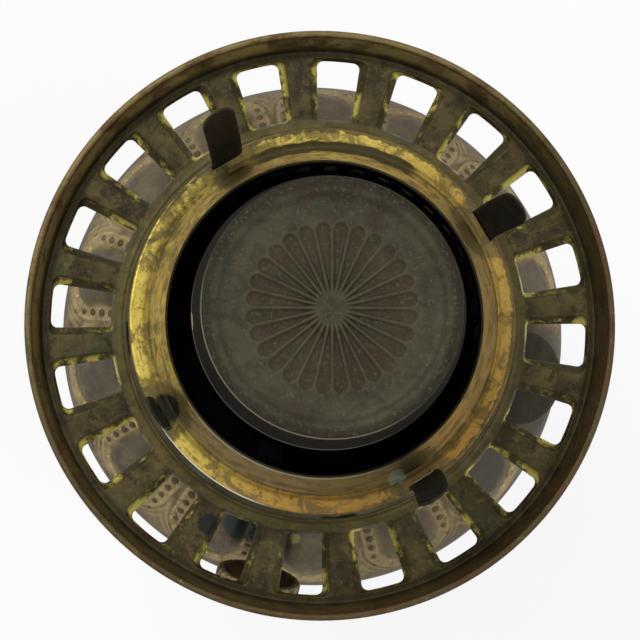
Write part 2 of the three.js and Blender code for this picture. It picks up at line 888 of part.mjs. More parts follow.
function galleryRing() {
  const beadMiddle = rimRadius - rimBead;
  const line = [
    [seatWallFootRadius + gap, plateTop],
    [plateOuterRadius, plateTop],
    [rimFootRadius, plateTop + rimFootRise],
    [beadMiddle - rimBead, rimTop - rimBead],
  ];
  const underside = offsetLine(line, gallerySheet).slice(0, -1).reverse();
  const rolledEdge = repeat(rimBeadPoints, (i) => {
    const angle = Math.PI * (1 - 1.5 * i / (rimBeadPoints - 1));
    return [beadMiddle + rimBead * Math.cos(angle), rimTop - rimBead + rimBead * Math.sin(angle)];
  });
  const shell = revolve([...line.slice(0, -1), ...rolledEdge, ...underside], gallerySegments);
  return withWindows(turned(shell, windowAzimuth));
}

// Each window is an opening whose edge is turned down all round
function withWindows(ring) {
  const low = plateTop - windowEdgeDepth;
  const edge = loft([
    windowSection(0, windowEdgeWall, low),
    windowSection(windowEdgeReach, windowEdgeWall, plateTop - gallerySheet / 2),
  ]);
  const opening = loft([
    windowSection(0, 0, low - overrun),
    windowSection(0, 0, low),
    windowSection(windowEdgeReach, 0, plateTop),
    windowSection(windowEdgeReach, 0, plateTop + overrun),
  ]);
  const angles = repeat(windowCount, (i) => windowAzimuth + i * 360 / windowCount);
  const edges = joinAll(angles.map((angle) => turned(edge, angle)));
  const openings = joinAll(angles.map((angle) => turned(opening, angle)));
  return ring.add(edges).subtract(openings);
}

function chimneySeat() {
  const line = [
    [seatFlangeRadius, seatFlangeTop],
    [seatWallFootRadius, seatFlangeTop],
    [seatWallFootRadius - seatWallSlope * (plateTop - seatFlangeTop), plateTop],
    [seatLipRadius, ledgeTop],
    [seatInnerRadius, ledgeTop],
    [mouthRadius, ledgeTop + mouthRise],
  ];
  const shell = revolve(sheetProfile(line, -seatSheet), gallerySegments);
  const lip = revolve([
    [seatLipRadius - 2 * seatLipBead, ledgeTop - seatLipBead],
    [seatLipRadius, ledgeTop - seatLipBead],
    [seatLipRadius - seatLipBead / 2, ledgeTop + seatLipBead / 2],
    [seatLipRadius - 3 * seatLipBead / 2, ledgeTop + seatLipBead / 2],
  ], gallerySegments);
  const prongSlots = prongAzimuths.map((azimuth) => turned(prongSlot(), azimuth));
  return shell.add(lip).subtract(joinAll(prongSlots)).subtract(seatSlots());
}

// Four tall slots with round ends let air through the wall of the seat
function seatSlots() {
  const low = plateTop + seatSlotRise;
  const slot = radialExtrude(
    slotShape(seatSlotWidth, low, low + seatSlotHeight),
    seatLipRadius - seatSheet - overrun,
    seatWallFootRadius + overrun,
    seatSlotSteps,
  );
  return joinAll(repeat(seatSlotCount, (i) => turned(slot, seatSlotAzimuth + i * 360 / seatSlotCount)));
}

const prongBaseRadius = seatLipRadius - seatSheet - gap - prongThickness / 2;

function prongSlot() {
  const halfWidth = prongWidth / 2 + gap;
  return radialExtrude(
    boxShape(-halfWidth, halfWidth, ledgeBottom - overrun, ledgeTop + overrun),
    prongBaseRadius - prongThickness / 2 - gap - prongSlotExtra,
    prongBaseRadius + prongThickness / 2 + gap,
    1,
  );
}

// A solid through a row of sections that have equal numbers of points
function loft(sections) {
  const count = sections[0].length;
  const positions = sections.flat().flatMap((point) => point.toArray());
  const index = [];
  for (let row = 0; row + 1 < sections.length; row += 1) {
    for (let k = 0; k < count; k += 1) {
      const next = (k + 1) % count;
      const [a, b] = [row * count + k, row * count + next];
      index.push(a, b, b + count, a, b + count, a + count);
    }
  }
  const last = (sections.length - 1) * count;
  for (let k = 1; k + 1 < count; k += 1) {
    index.push(0, k + 1, k, last, last + k, last + k + 1);
  }
  const geometry = new THREE.BufferGeometry();
  geometry.setAttribute('position', new THREE.Float32BufferAttribute(positions, 3));
  geometry.setIndex(index);
  return toSolid(geometry);
}

function chimneyProng(tipRadius, lean) {
  const footDirection = Math.atan(seatWallSlope);
  const foot = new THREE.Vector2(
    prongBaseRadius + prongFootLength * Math.sin(footDirection),
    ledgeTop - prongFootLength * Math.cos(footDirection),
  );
  const base = new THREE.Vector2(prongBaseRadius, ledgeTop);
  const tip = new THREE.Vector2(tipRadius, ledgeTop + prongHeight);
  const bend = new THREE.Vector2(prongBaseRadius, ledgeTop + prongHeight / 2);
  const curve = new THREE.QuadraticBezierCurve(base, bend, tip);
  const line = [foot, ...prongStepShares.map((share) => curve.getPoint(share))];
  const sections = line.map((point, i) => {
    const before = line[Math.max(i - 1, 0)];
    const after = line[Math.min(i + 1, line.length - 1)];
    const direction = after.clone().sub(before).normalize();
    const side = new THREE.Vector2(direction.y, -direction.x).multiplyScalar(prongThickness / 2);
    const share = i === 0 ? 0 : prongStepShares[i - 1];
    const half = tipHalfWidth(share);
    const shift = lean * share ** 2;
    return [
      new THREE.Vector3(point.x - side.x, shift - half, point.y - side.y),
      new THREE.Vector3(point.x + side.x, shift - half, point.y + side.y),
      new THREE.Vector3(point.x + side.x, shift + half, point.y + side.y),
      new THREE.Vector3(point.x - side.x, shift + half, point.y - side.y),
    ];
  });
  return loft(sections);
}

// The prong widens a little, then ends in a flat arch
function tipHalfWidth(share) {
  const half = (prongWidth + (prongTipWidth - prongWidth) * share) / 2;
  const fromTip = (1 - share) * prongHeight;
  const roundShare = Math.max(1 - fromTip / prongTipRound, 0);
  const widthShare = (1 - roundShare ** prongRoundShare) ** (1 / prongRoundShare);
  return half * Math.max(widthShare, prongTipShare);
}

function gallerySkirt() {
  const shell = revolve([
    [skirtInnerRadius, skirtBottom],
    [skirtOuterRadius, skirtBottom],
    [skirtOuterRadius, skirtFlangeTop - skirtWall],
    [skirtOuterRadius + skirtFlangeWidth, skirtFlangeTop - skirtWall],
    [skirtOuterRadius + skirtFlangeWidth, skirtFlangeTop],
    [skirtInnerRadius, skirtFlangeTop],
  ], tubeSegments);
  const slotLow = drumRoofTop + gap;
  const slotHigh = skirtFlangeTop - 2 * skirtWall - gap;
  const slot = radialExtrude(
    slotShape(skirtSlotWidth, slotLow, slotHigh),
    skirtInnerRadius - overrun,
    skirtOuterRadius + overrun,
    cornerSteps,
  );
  const slots = repeat(skirtSlotCount, (i) => turned(slot, i * 360 / skirtSlotCount));
  const axisHeight = pinionHeight - (skirtInnerRadius - pinionRadialPlace) * tanSlope;
  const notchRadius = bushingRadius / cosSlope + gap;
  const notch = radialExtrude(
    slotShape(2 * notchRadius, skirtBottom - 2 * notchRadius - overrun, axisHeight + notchRadius),
    skirtInnerRadius - overrun,
    skirtOuterRadius + overrun,
    6,
  );
  return cutAll(shell, slots).subtract(turned(notch, raiserAzimuth));
}

// Flame spreader

function spreaderCap() {
  const dish = spreaderTop - spreaderDish;
  const rim = spreaderTopRadius - spreaderRimWidth;
  const line = [
    [0, dish],
    [rim - spreaderRimWidth, dish],
    [rim, dish + spreaderDish / 4],
    [rim + spreaderRimWidth / 3, spreaderTop - spreaderDish / 8],
    [spreaderTopRadius - spreaderRimWidth / 3, spreaderTop],
    [spreaderTopRadius, spreaderTop - spreaderDish / 2],
    [spreaderSkirtRadius, spreaderBottom + spreaderSheet],
    [spreaderSkirtRadius - spreaderSheet / 2, spreaderBottom],
    [thimbleOuterRadius + gap, spreaderBottom],
  ];
  return revolve(sheetProfile(line, spreaderSheet), tubeSegments);
}

function spreaderThimble() {
  const flangeRadius = thimbleOuterRadius + thimbleBead;
  const capPlateTop = spreaderBottom + spreaderSheet + gap;
  const wallTop = capPlateTop + thimbleBeadHeight + thimbleTopReach;
  const beadLow = spreaderBottom - gap - thimbleBeadHeight;
  const shell = revolve([
    [thimbleInnerRadius, thimbleBottom],
    [thimbleOuterRadius, thimbleBottom],
    [thimbleOuterRadius, thimbleRest],
    [draftTubeOuterRadius, thimbleRest],
    [draftTubeOuterRadius, thimbleRest + thimbleBeadHeight],
    [thimbleOuterRadius, thimbleRest + 2 * thimbleBeadHeight],
    [thimbleOuterRadius, beadLow - thimbleBeadHeight],
    [flangeRadius, beadLow],
    [flangeRadius, beadLow + thimbleBeadHeight],
    [thimbleOuterRadius, beadLow + thimbleBeadHeight],
    [thimbleOuterRadius, capPlateTop],
    [flangeRadius, capPlateTop],
    [flangeRadius, capPlateTop + thimbleBeadHeight],
    [thimbleOuterRadius, wallTop],
    [thimbleInnerRadius, wallTop],
  ], thimbleSegments);
  const low = thimbleRest + thimbleBeadHeight + perforationMargin;
  const high = beadLow - thimbleBeadHeight - perforationMargin / 2;
  const step = (high - low) / perforationRows;
  const shape = new THREE.Shape();
  shape.absarc(0, 0, perforationRadius, 0, 2 * Math.PI, false);
  const hole = radialExtrude(
    shape,
    thimbleInnerRadius - overrun,
    thimbleOuterRadius + overrun,
    perforationSides / 2,
  );
  const holes = repeat(perforationRows * perforationCount, (i) => {
    const row = Math.floor(i / perforationCount);
    const angle = (i + row / 2) * 360 / perforationCount;
    return turned(hole.translate([0, 0, low + row * step]), angle);
  });
  return cutAll(shell, holes);
}

// Finishes
const platedMetal = () => finish(0x8a8272, 0.42, 0.85);
const oldBrass = () => finish(0x5a4f2c, 0.5, 0.85);
const wornBrass = () => finish(0xa88a3a, 0.38, 0.9);
const sootyBrass = () => finish(0x2c2923, 0.7, 0.6);
const slateMetal = () => finish(0x45463f, 0.6, 0.6);
const springMetal = () => finish(0x1f201d, 0.5, 0.7);

// Assembly
addPiece('air_foot', airFoot(), oldBrass());
addPiece('font_bowl', fontBowl(), platedMetal());
addPiece('font_shoulder', fontShoulder(), platedMetal());
addPiece('draft_tube', draftTube(), sootyBrass());
addPiece('outer_wick_tube', outerWickTube(), sootyBrass());
addPiece('burner_drum', burnerDrum(), oldBrass());
addPiece('rack_housing', rackHousing(), oldBrass());

const filler = addGroup(fillerMatrix());
addPiece('filler_neck', fillerNeck(), oldBrass(), filler);
addPiece('filler_gasket', fillerGasket(), finish(0x8a6a48, 0.9, 0), filler);
addPiece('filler_cap', fillerCap(), platedMetal(), filler);

const raiser = addGroup(raiserMatrix());
addPiece('shaft_bushing', shaftBushing(), oldBrass(), raiser);
addPiece('shaft_packing', shaftPacking(), finish(0x3a3530, 0.95, 0), raiser);
addPiece('packing_nut', packingNut(), oldBrass(), raiser);
addPiece('raiser_shaft', raiserShaft(), finish(0x6b5a34, 0.5, 0.8), raiser);
addPiece('raiser_pinion', raiserPinion(), finish(0x9a8040, 0.4, 0.9), raiser);
addPiece('raiser_knob', raiserKnob(), finish(0x4a2f14, 0.6, 0.5), raiser);

addPiece('wick_rack', wickRack(), finish(0x9a8040, 0.4, 0.9));
addPiece('wick_carrier', wickCarrier(), finish(0x9a8040, 0.4, 0.9));
addPiece('wick', wick(), finish(0x2a2520, 1, 0));

addPiece('gallery_ring', galleryRing(), oldBrass());
addPiece('chimney_seat', chimneySeat(), wornBrass());
addPiece('gallery_skirt', gallerySkirt(), oldBrass());
prongAzimuths.forEach((azimuth, i) => {
  const solid = chimneyProng(prongTipRadii[i], prongLeans[i]);
  const prong = addPiece(`chimney_prong_${i + 1}`, solid, springMetal());
  prong.rotation.z = azimuth * radians;
});

addPiece('spreader_cap', spreaderCap(), slateMetal());
addPiece('spreader_thimble', spreaderThimble(), sootyBrass());

export default model;
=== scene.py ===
"""Looks of the kerosene lamp font: detailed pieces, finishes, floor, light and camera.

Lengths are millimetres and become metres in `place_mesh`. Angles are degrees. +Z is up.
Outlines are rows of radius, height and, for a rounded corner, how far the rounding reaches.
"""

import json
import math
import random

import bmesh
import bpy
import numpy as np
from mathutils import Matrix, Vector, geometry


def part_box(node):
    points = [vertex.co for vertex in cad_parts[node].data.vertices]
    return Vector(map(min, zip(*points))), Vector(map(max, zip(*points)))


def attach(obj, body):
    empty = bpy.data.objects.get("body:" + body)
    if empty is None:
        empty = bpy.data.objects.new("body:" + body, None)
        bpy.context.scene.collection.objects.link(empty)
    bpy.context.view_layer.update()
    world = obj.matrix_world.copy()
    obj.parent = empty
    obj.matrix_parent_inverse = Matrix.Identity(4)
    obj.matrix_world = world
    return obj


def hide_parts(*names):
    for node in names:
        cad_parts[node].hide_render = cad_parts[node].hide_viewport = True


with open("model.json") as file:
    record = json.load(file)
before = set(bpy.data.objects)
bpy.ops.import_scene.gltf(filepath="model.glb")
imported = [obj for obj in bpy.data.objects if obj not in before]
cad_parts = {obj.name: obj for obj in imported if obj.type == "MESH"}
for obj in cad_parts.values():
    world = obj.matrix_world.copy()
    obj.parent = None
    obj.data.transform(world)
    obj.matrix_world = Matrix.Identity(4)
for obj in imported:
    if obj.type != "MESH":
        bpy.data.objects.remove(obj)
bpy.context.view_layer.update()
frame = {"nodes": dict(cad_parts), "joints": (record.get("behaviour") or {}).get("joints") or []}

MM = 0.001
RANDOM_SEED = 7

# Facets
FINE = 240
MEDIUM = 120
SMALL = 48
FOOT_FACETS = 160
SKIRT_FACETS = 180
FILLET_STEPS = 5
SMOOTH_ANGLE = 42
MERGE_GAP = 0.002
TOLERANCE = 0.0001


def top(node):
    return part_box(node)[1].z / MM


def bottom(node):
    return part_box(node)[0].z / MM


def top_reach(node):
    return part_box(node)[1].x / MM


# Heights that the solids give
RIM_TOP = top("gallery_ring")
RIM_RISE = 5.8
LEDGE_RISE = 12.4
BELLY_DROP = 16.2
PLATE = RIM_TOP - RIM_RISE
LEDGE = PLATE + LEDGE_RISE
TUBE_TOP = top("outer_wick_tube")
SPREADER_TOP = top("spreader_cap")
SPREADER_BOTTOM = bottom("spreader_cap")
SHOULDER_TOP = top("font_shoulder")
BELLY = SHOULDER_TOP - BELLY_DROP
FOOT_TOP = top("air_foot")

# Gallery
WINDOW_COUNT = 20
WINDOW_AZIMUTH = 13.9
WINDOW_HALF = 4.7
WINDOW_INNER = 38.6
WINDOW_OUTER = 49.6
WINDOW_CORNER = 1.15
WINDOW_INNER_CORNER = 0.5
WINDOW_CORNER_STEPS = 8
WINDOW_SIDE_STEPS = 5
WINDOW_MIDDLE = 44.0
WINDOW_DEPTH = 1.6
LIP_REACH = 1.7
LIP_INNER_SHARE = 0.45
LIP_OUTER_SHARE = 0.2
LIP_BEND = 0.3
LIP_CURL = 0.5
LIP_STEPS = 3
EDGE_INNER = 1.5
EDGE_OUTER = 0.4
EDGE_DEPTHS = (0.1, 0.4)
WEAR_AND_GLINT_ACROSS = (0, 3)
PLATE_INNER = 37.3
COLLAR = 35.95
COLLAR_CURVE = ((36.75, 0.06), (36.4, 0.3), (COLLAR, 0.9))
PLATE_OUTER = 50.3
RIM_CURVE = (
    (50.7, -0.2), (51.1, -0.1), (51.4, 0.4), (51.7, 1.4),
    (52.0, 2.7), (52.3, 3.9), (52.6, 4.8), (52.85, 5.35),
)
RIM_RADIUS = 54.0
RIM_BEAD = 0.65
RIM_BEAD_START = 140
RIM_BEAD_TURN = 310
RIM_BEAD_STEPS = 12
GALLERY_SHEET = 0.45

# Chimney seat
SEAT_LIP = 34.8
SEAT_FOOT = 36.0
WALL_LEAN = 0.097
SEAT_FLANGE = 36.9
SEAT_FLANGE_DROP = 1.1
GROOVE = 31.2
SEAT_INNER = 30.9
MOUTH = 28.4
MOUTH_RISE = 4.2
SEAT_WALL_CURVE = (
    (SEAT_FLANGE, -SEAT_FLANGE_DROP), (SEAT_FOOT, -SEAT_FLANGE_DROP, 0.3),
    (SEAT_FOOT - 0.15, 0.6, 0.5),
)
SEAT_CURVE = (
    (SEAT_LIP, 0.1, 0.5), (SEAT_LIP - 0.9, 0.05, 0.4), (32.4, -0.05, 0.4),
    (31.7, -0.3, 0.3), (GROOVE, -0.35, 0.3), (SEAT_INNER - 0.3, 0.3, 0.5),
    (MOUTH + 0.1, MOUTH_RISE - 0.35, 0.3), (MOUTH, MOUTH_RISE),
)
SEAT_SHEET = 0.5
SEAT_SLOTS = 4
SEAT_SLOT_AZIMUTH = 5
SEAT_SLOT_WIDTH = 6.6
SEAT_SLOT_LOW = 1.0
SEAT_SLOT_HEIGHT = 8.6

# Skirt
SKIRT_FLANGE = top_reach("gallery_skirt")
SKIRT_OUTER = SKIRT_FLANGE - 4.2
SKIRT_SHEET = 0.5
SKIRT_SLOTS = 36
SKIRT_SLOT_HALF = 1.3
SKIRT_SLOT_LOW = 0.6
SKIRT_SLOT_HIGH = 1.8
NOTCH_RADIUS = 2.1
NOTCH_CLEARANCE = 0.35
NOTCH_STEPS = 12

# Prongs
PRONG_AZIMUTHS = (30.9, 121.3, 210.4, 302.2)
PRONG_TIPS = (37.4, 39.1, 34.7, 36.6)
PRONG_BASE = 33.65
PRONG_LEANS = (-1.2, -0.9, 0, -2.1)
PRONG_WIDTH = 6.0
PRONG_TIP_WIDTH = 6.2
PRONG_TIP_ROUND = 2.4
PRONG_TIP_POWER = 2.5
PRONG_SHEET = 0.45
PRONG_HEIGHT = 21.5
PRONG_FOOT = 8.0
PRONG_TROUGH = 0.25
PRONG_TROUGH_SHARE = 1 / 3
PRONG_TIP_SHARE = 0.16
PRONG_END_SHARE = 0.3
PRONG_BODY_ROWS = 18
PRONG_TIP_ROWS = 10
PRONG_COLUMNS = 9
PRONG_CLEARANCE = 0.1
PRONG_SLOT_RISE = 2
PRONG_SLOT_INNER = 0.5
PRONG_SLOT_OUTER = 0.45

# Flame spreader
DISC_RADIUS = 22.3
DISC_SKIRT = 23.7
DISC_RIM = 2.6
DISC_DISH = 1.1
DISC_SHEET = 0.6
DISC_UNDER = 1.0
FIELD = SPREADER_TOP - DISC_DISH
PETALS = 28
PETAL_START = 1.4
PETAL_END = 14.6
PETAL_DEPTH = 0.36
PETAL_MARGIN = 1.4
PETAL_ROWS = 66
PETAL_COLUMNS = 12
RIDGE_HEIGHT = 0.14
RIDGE_WIDTH = 0.42
PETAL_WALL = (0.12, 0.55)
PETAL_FADE = (PETAL_START, PETAL_START + 3)
PETAL_STOP = (-0.05, 0.4)
RIDGE_FADE = (PETAL_START, PETAL_START + 2)
RIDGE_STOP = (-0.9, -0.1)
THIMBLE = 18.4
THIMBLE_SHEET = 0.5
THIMBLE_GAP = 0.3
THIMBLE_BEAD = 19.3
THIMBLE_RING = 19.5
THIMBLE_BEAD_CURVE = (
    (THIMBLE, 0, 0.1), (THIMBLE_BEAD, 0, 0.2), (THIMBLE_BEAD, 0.5, 0.3), (THIMBLE, 1, 0.3),
)
THIMBLE_RINGS_CURVE = (
    (THIMBLE, -1, 0.3), (THIMBLE_RING, -0.5, 0.3), (THIMBLE_RING, 0, 0.2), (THIMBLE, 0, 0.05),
    (THIMBLE, 1.2, 0.05), (THIMBLE_RING, 1.2, 0.2), (THIMBLE_RING, 1.7, 0.2),
)
DISC_CURVE = (
    (PETAL_END + 1.6, FIELD), (DISC_RADIUS - DISC_RIM - 1.2, FIELD - 0.05, 0.9),
    (DISC_RADIUS - DISC_RIM, SPREADER_TOP - 0.1, 0.7), (DISC_RADIUS - 0.6, SPREADER_TOP, 0.8),
    (DISC_RADIUS, SPREADER_TOP - 0.75, 0.5), (DISC_SKIRT - 0.05, SPREADER_BOTTOM + 1.0, 0.4),
    (DISC_SKIRT, SPREADER_BOTTOM + 0.5, 0.4), (DISC_SKIRT - 0.5, SPREADER_BOTTOM, 0.3),
    (THIMBLE + 0.3, SPREADER_BOTTOM, 0.2), (THIMBLE + 0.3, SPREADER_BOTTOM + DISC_SHEET, 0.2),
    (DISC_SKIRT - 0.7, SPREADER_BOTTOM + DISC_SHEET, 0.3),
    (DISC_RADIUS - 0.7, SPREADER_TOP - 1.3, 0.3),
    (PETAL_END, FIELD - DISC_UNDER, 0.5), (0, FIELD - DISC_UNDER),
)
HOLE_ROWS = 4
HOLES_PER_ROW = 34
HOLE_RADIUS = 0.95

# Font
BELLY_RADIUS = 48.8
SHOULDER_RADIUS = 30.78
SHOULDER_MOUTH = 28.2
SHOULDER_SHEET = 0.75
SHOULDER_ROWS = 84
SHOULDER_HEM = 3.0
SHOULDER_HEM_ROUND = 0.2
SHOULDER_LIP = 0.6
LINING_ROWS = 8
LINING_INWARD = 0.8
LINING_DOWN = 0.6
BOWL_GAP = 1.0
BOWL_SHEET = 0.6
BOWL_FOOT = 27
BOWL_FLAT = 13.5
BOWL_RISE = 31
BOWL_HOLE = 19.6
BOWL_ROWS = 40
ARCHES = 14
ARCH_COLUMNS = 60
ARCH_AZIMUTH = 345.6
ARCH_HALF = 7.1
ARCH_START = 2.2
ARCH_END = 15.5
ARCH_SQUEEZE = 1.38
ARCH_HEIGHT = 0.5
RIB_OFFSET = 3.1
RIB_WIDTH = 0.3
RIB_HEIGHT = 0.3
RIB_START = (0, 3)
RIB_END = (23, 20)
PLUME_OFFSETS = (4.3, 5.5)
PLUME_START = (12, 16)
PLUME_SHARE = 0.6
PANEL_EDGE = (0.5, -1.6)
PANEL_TONE = (0.9, -0.9)
STRIP_START = (0.4, 1.1)
STRIP_END = (RIB_OFFSET + 0.4, RIB_OFFSET - 0.2)
STRIP_HEIGHT = 0.1
STRIP_SHARE = 0.55
CREASE_OFFSET = 0.6
CREASE_WIDTH = 0.35
CREASE_DEPTH = 0.1
BEAD_RADII = (1.05, 0.6)
BEAD_END = 19.2
BEAD_RISE = 0.55
BEAD_PITCH = 2.3
END_BEAD_RADIUS = 0.42
END_BEAD_START = 0.72
END_BEAD_PITCH = 1.5
BEAD_SIDES = 12
BEAD_RINGS = ((1.0, -0.9), (0.96, 0.3), (0.78, 0.68), (0.42, 0.93))
BEAD_OFFSET = 1.85
BEAD_STEP = 0.05
PLAIN_REACH = 12.5
PLAIN_EDGE = 14.5

# Foot
FOOT_SHEET = 0.8
FOOT_BORE = 25.2
FOOT_CURVE = (
    (FOOT_BORE, FOOT_TOP - FOOT_SHEET / 2), (FOOT_BORE, FOOT_TOP, 0.2), (31, FOOT_TOP, 0.8),
    (36.5, 1.7, 0.8), (37.5, FOOT_SHEET, 0.4), (38.9, FOOT_SHEET, 0.3), (38.9, 0, 0.3),
    (36.9, 0, 0.4), (35.7, 1.3, 0.6), (30.3, FOOT_TOP - FOOT_SHEET, 0.5),
    (FOOT_BORE, FOOT_TOP - FOOT_SHEET, 0.2), (FOOT_BORE, FOOT_TOP - FOOT_SHEET / 2),
)
FOOT_HOLES = 12
FOOT_HOLE_INNER = 26
FOOT_HOLE_OUTER = 44
FOOT_HOLE_WIDTH = 3.5
FOOT_HOLE_HEIGHT = 2.5

# Raiser, filler and wick
RAISER_AZIMUTH = 256.7
RAISER_SLOPE = 15
KNURL_FACETS = 4
KNURLS = 36
KNOB_RADIUS = 8.0
KNOB_KNURL_SHARE = 0.035
KNOB_KNURL_REACH = 0.4
KNOB_TONE = (6.6, 7.2)
KNOB_CURVE = (
    (1.5, 2), (1.5, 0.6, 0.2), (6.3, 0.6, 0.4), (6.8, 0, 0.4), (KNOB_RADIUS, 0.1, 0.5),
    (KNOB_RADIUS, 3.9, 0.5), (6.8, 4, 0.4), (6.3, 3.4, 0.4), (1.5, 3.4, 0.2), (1.5, 2),
)
SHAFT = 1.2
PINION_CURVE = (
    (0, -1.5), (SHAFT, -1.5, 0.2), (SHAFT, -1.2, 0.1),
    (0.8, -1.2, 0.05), (0.8, 1.2, 0.05), (SHAFT, 1.2, 0.1),
)
SHAFT_CURVE = (
    (SHAFT, -1, 0.1), (2.1, -1, 0.2), (2.1, -0.3, 0.2), (SHAFT, -0.3, 0.1),
    (SHAFT, 4.3, 0.1), (2.1, 4.3, 0.2), (2.0, 4.8, 0.4), (0, 5),
)
CAP_KNURL_SHARE = 0.018
CAP_KNURL_HEIGHTS = (2.7, 4.6)
CAP_KNURL_RADIUS = 9
CAP_CURVE = (
    (0, 4.8), (8.6, 4.8, 0.4), (8.6, 1.1, 0.1), (9.8, 1.1, 0.3), (9.9, 2.0, 0.5),
    (9.2, 2.8, 0.3), (9.2, 4.7, 0.7), (8.4, 5.4, 0.8), (4.6, 5.8, 2), (0, 5.9),
)
TUBE_SHEET = 0.6
WICK_INNER = 19.7
WICK_OUTER = 22.2
WICK_FRAY = 0.25
WICK_STRANDS = 90
WICK_STITCH = 0.8


# Meshes

def place_mesh(name, vertices, faces, smooth_angle=SMOOTH_ANGLE):
    """A new object from vertices in millimetres."""
    mesh = bpy.data.meshes.new(name)
    mesh.from_pydata([tuple(v * MM for v in vertex) for vertex in vertices], [], faces)
    tidy(mesh)
    mesh.shade_smooth()
    mesh.set_sharp_from_angle(angle=math.radians(smooth_angle))
    piece = bpy.data.objects.new(name, mesh)
    bpy.context.scene.collection.objects.link(piece)
    return piece


def tidy(mesh):
    work = bmesh.new()
    work.from_mesh(mesh)
    bmesh.ops.remove_doubles(work, verts=work.verts, dist=MERGE_GAP * MM)
    bmesh.ops.recalc_face_normals(work, faces=work.faces)
    work.to_mesh(mesh)
    work.free()


def fillet(line, steps=FILLET_STEPS):
    """The line with each corner that has a third value rounded off by that much."""
    rounded = []
    for i, corner in enumerate(line):
        here = np.array(corner[:2], float)
        if len(corner) < 3 or i in (0, len(line) - 1):
            rounded.append(here)
            continue
        before, after = (np.array(line[i + k][:2], float) - here for k in (-1, 1))
        reach = min(corner[2], np.linalg.norm(before) / 2, np.linalg.norm(after) / 2)
        start = here + before / np.linalg.norm(before) * reach
        end = here + after / np.linalg.norm(after) * reach
        for k in range(steps + 1):
            t = k / steps
            rounded.append((1 - t) ** 2 * start + 2 * t * (1 - t) * here + t * t * end)
    return rounded


def sheet(line, thickness):
    """Closed outline of bent metal whose face is the line and whose back lies to its left."""
    corners = np.array([corner[:2] for corner in line], float)
    steps = np.diff(corners, axis=0)
    steps /= np.linalg.norm(steps, axis=1)[:, None]
    lefts = np.column_stack((-steps[:, 1], steps[:, 0]))
    back = []
    for i, corner in enumerate(line):
        before, after = lefts[max(i - 1, 0)], lefts[min(i, len(lefts) - 1)]
        move = (before + after) / (1 + before @ after) * thickness
        back.append((*(corners[i] + move), *corner[2:]))
    return fillet(line) + fillet(back[::-1])


def raised(curve, level):
    """The outline with its heights counted from that level."""
    return [(radius, level + rise, *rounding) for radius, rise, *rounding in curve]


def lathe_points(line, segments):
    """Rings of points round the axis, and the angle of each column in degrees."""
    line = np.array(line, float)
    angles = np.arange(segments) * 2 * math.pi / segments
    radius = line[:, :1]
    points = np.empty((len(line), segments, 3))
    points[..., 0] = radius * np.cos(angles)
    points[..., 1] = radius * np.sin(angles)
    points[..., 2] = line[:, 1:2]
    return points, np.degrees(angles)


def bridge(near, far, count):
    """Faces between two closed rows of vertices, given by their first numbers."""
    pairs = [(j, (j + 1) % count) for j in range(count)]
    return [(near + j, near + k, far + k, far + j) for j, k in pairs]


def grid_faces(rows, columns, start=0, wrap=True):
    faces = []
    for i in range(start, start + (rows - 1) * columns, columns):
        row = bridge(i, i + columns, columns)
        faces += row if wrap else row[:-1]
    return faces


def ring_mesh(name, rings, smooth_angle=SMOOTH_ANGLE):
    return place_mesh(name, rings.reshape(-1, 3), grid_faces(*rings.shape[:2]), smooth_angle)


def lathe(name, line, segments=MEDIUM):
    """A turned piece. A line that doesn't touch the axis joins its end to its start."""
    points = list(fillet(line))
    if min(points[0][0], points[-1][0]) > 0:
        points.append(points[0])
    return ring_mesh(name, lathe_points(points, segments)[0])


def bezier(corners, count):
    """Points along a cubic curve with four control corners."""
    t = np.linspace(0, 1, count)[:, None]
    a, b, c, d = (np.array(corner, float) for corner in corners)
    return (1 - t) ** 3 * a + 3 * (1 - t) ** 2 * t * b + 3 * (1 - t) * t * t * c + t ** 3 * d


def tube_line(inner, outer, low, high, edge=0.15):
    middle = (low + high) / 2
    return [
        (inner, middle), (inner, low, edge), (outer, low, edge),
        (outer, high, edge), (inner, high, edge), (inner, middle),
    ]


def apply_modifiers(piece):
    graph = bpy.context.evaluated_depsgraph_get()
    mesh = bpy.data.meshes.new_from_object(piece.evaluated_get(graph))
    piece.modifiers.clear()
    piece.data = mesh
    return piece


def thicken(piece, thickness, offset=-1):
    """Turns an open sheet into metal of a thickness, grown to the back of its faces."""
    modifier = piece.modifiers.new("thickness", "SOLIDIFY")
    modifier.thickness = thickness * MM
    modifier.offset = offset
    modifier.use_even_offset = True
    return apply_modifiers(piece)


def cut(piece, cutter):
    """Takes the cutter's volume out of the piece."""
    modifier = piece.modifiers.new("cut", "BOOLEAN")
    modifier.operation = "DIFFERENCE"
    modifier.solver = "EXACT"
    modifier.object = cutter
    apply_modifiers(piece)
    bpy.data.objects.remove(cutter)
    piece.data.shade_smooth()
    piece.data.set_sharp_from_angle(angle=math.radians(SMOOTH_ANGLE))
    return piece


def prisms(name, outlines):
    """Closed prisms, each from two equal loops of points."""
    vertices, faces = [], []
    for near, far in outlines:
        base, count = len(vertices), len(near)
        vertices += list(near) + list(far)
        faces.append(tuple(base + i for i in reversed(range(count))))
        faces.append(tuple(base + count + i for i in range(count)))
        faces += bridge(base, base + count, count)
    return place_mesh(name, vertices, faces)


def radial_prism(shape, azimuth, inner, outer):
    """A prism from (across, height) pairs, seen from outside, between two radii."""
    angle = math.radians(azimuth)
    radial = np.array((math.cos(angle), math.sin(angle), 0))
    across = np.array((-math.sin(angle), math.cos(angle), 0))
    up = np.array((0, 0, 1))
    return [
        [radial * radius + across * x + up * z for x, z in shape]
        for radius in (inner, outer)
    ]


def oval(half_width, half_height, height, count=20, power=1.0):
    points = []
    for i in range(count):
        angle = 2 * math.pi * i / count
        c, s = math.cos(angle), math.sin(angle)
        points.append((
            half_width * math.copysign(abs(c) ** power, c),
            height + half_height * math.copysign(abs(s) ** power, s),
        ))
    return points


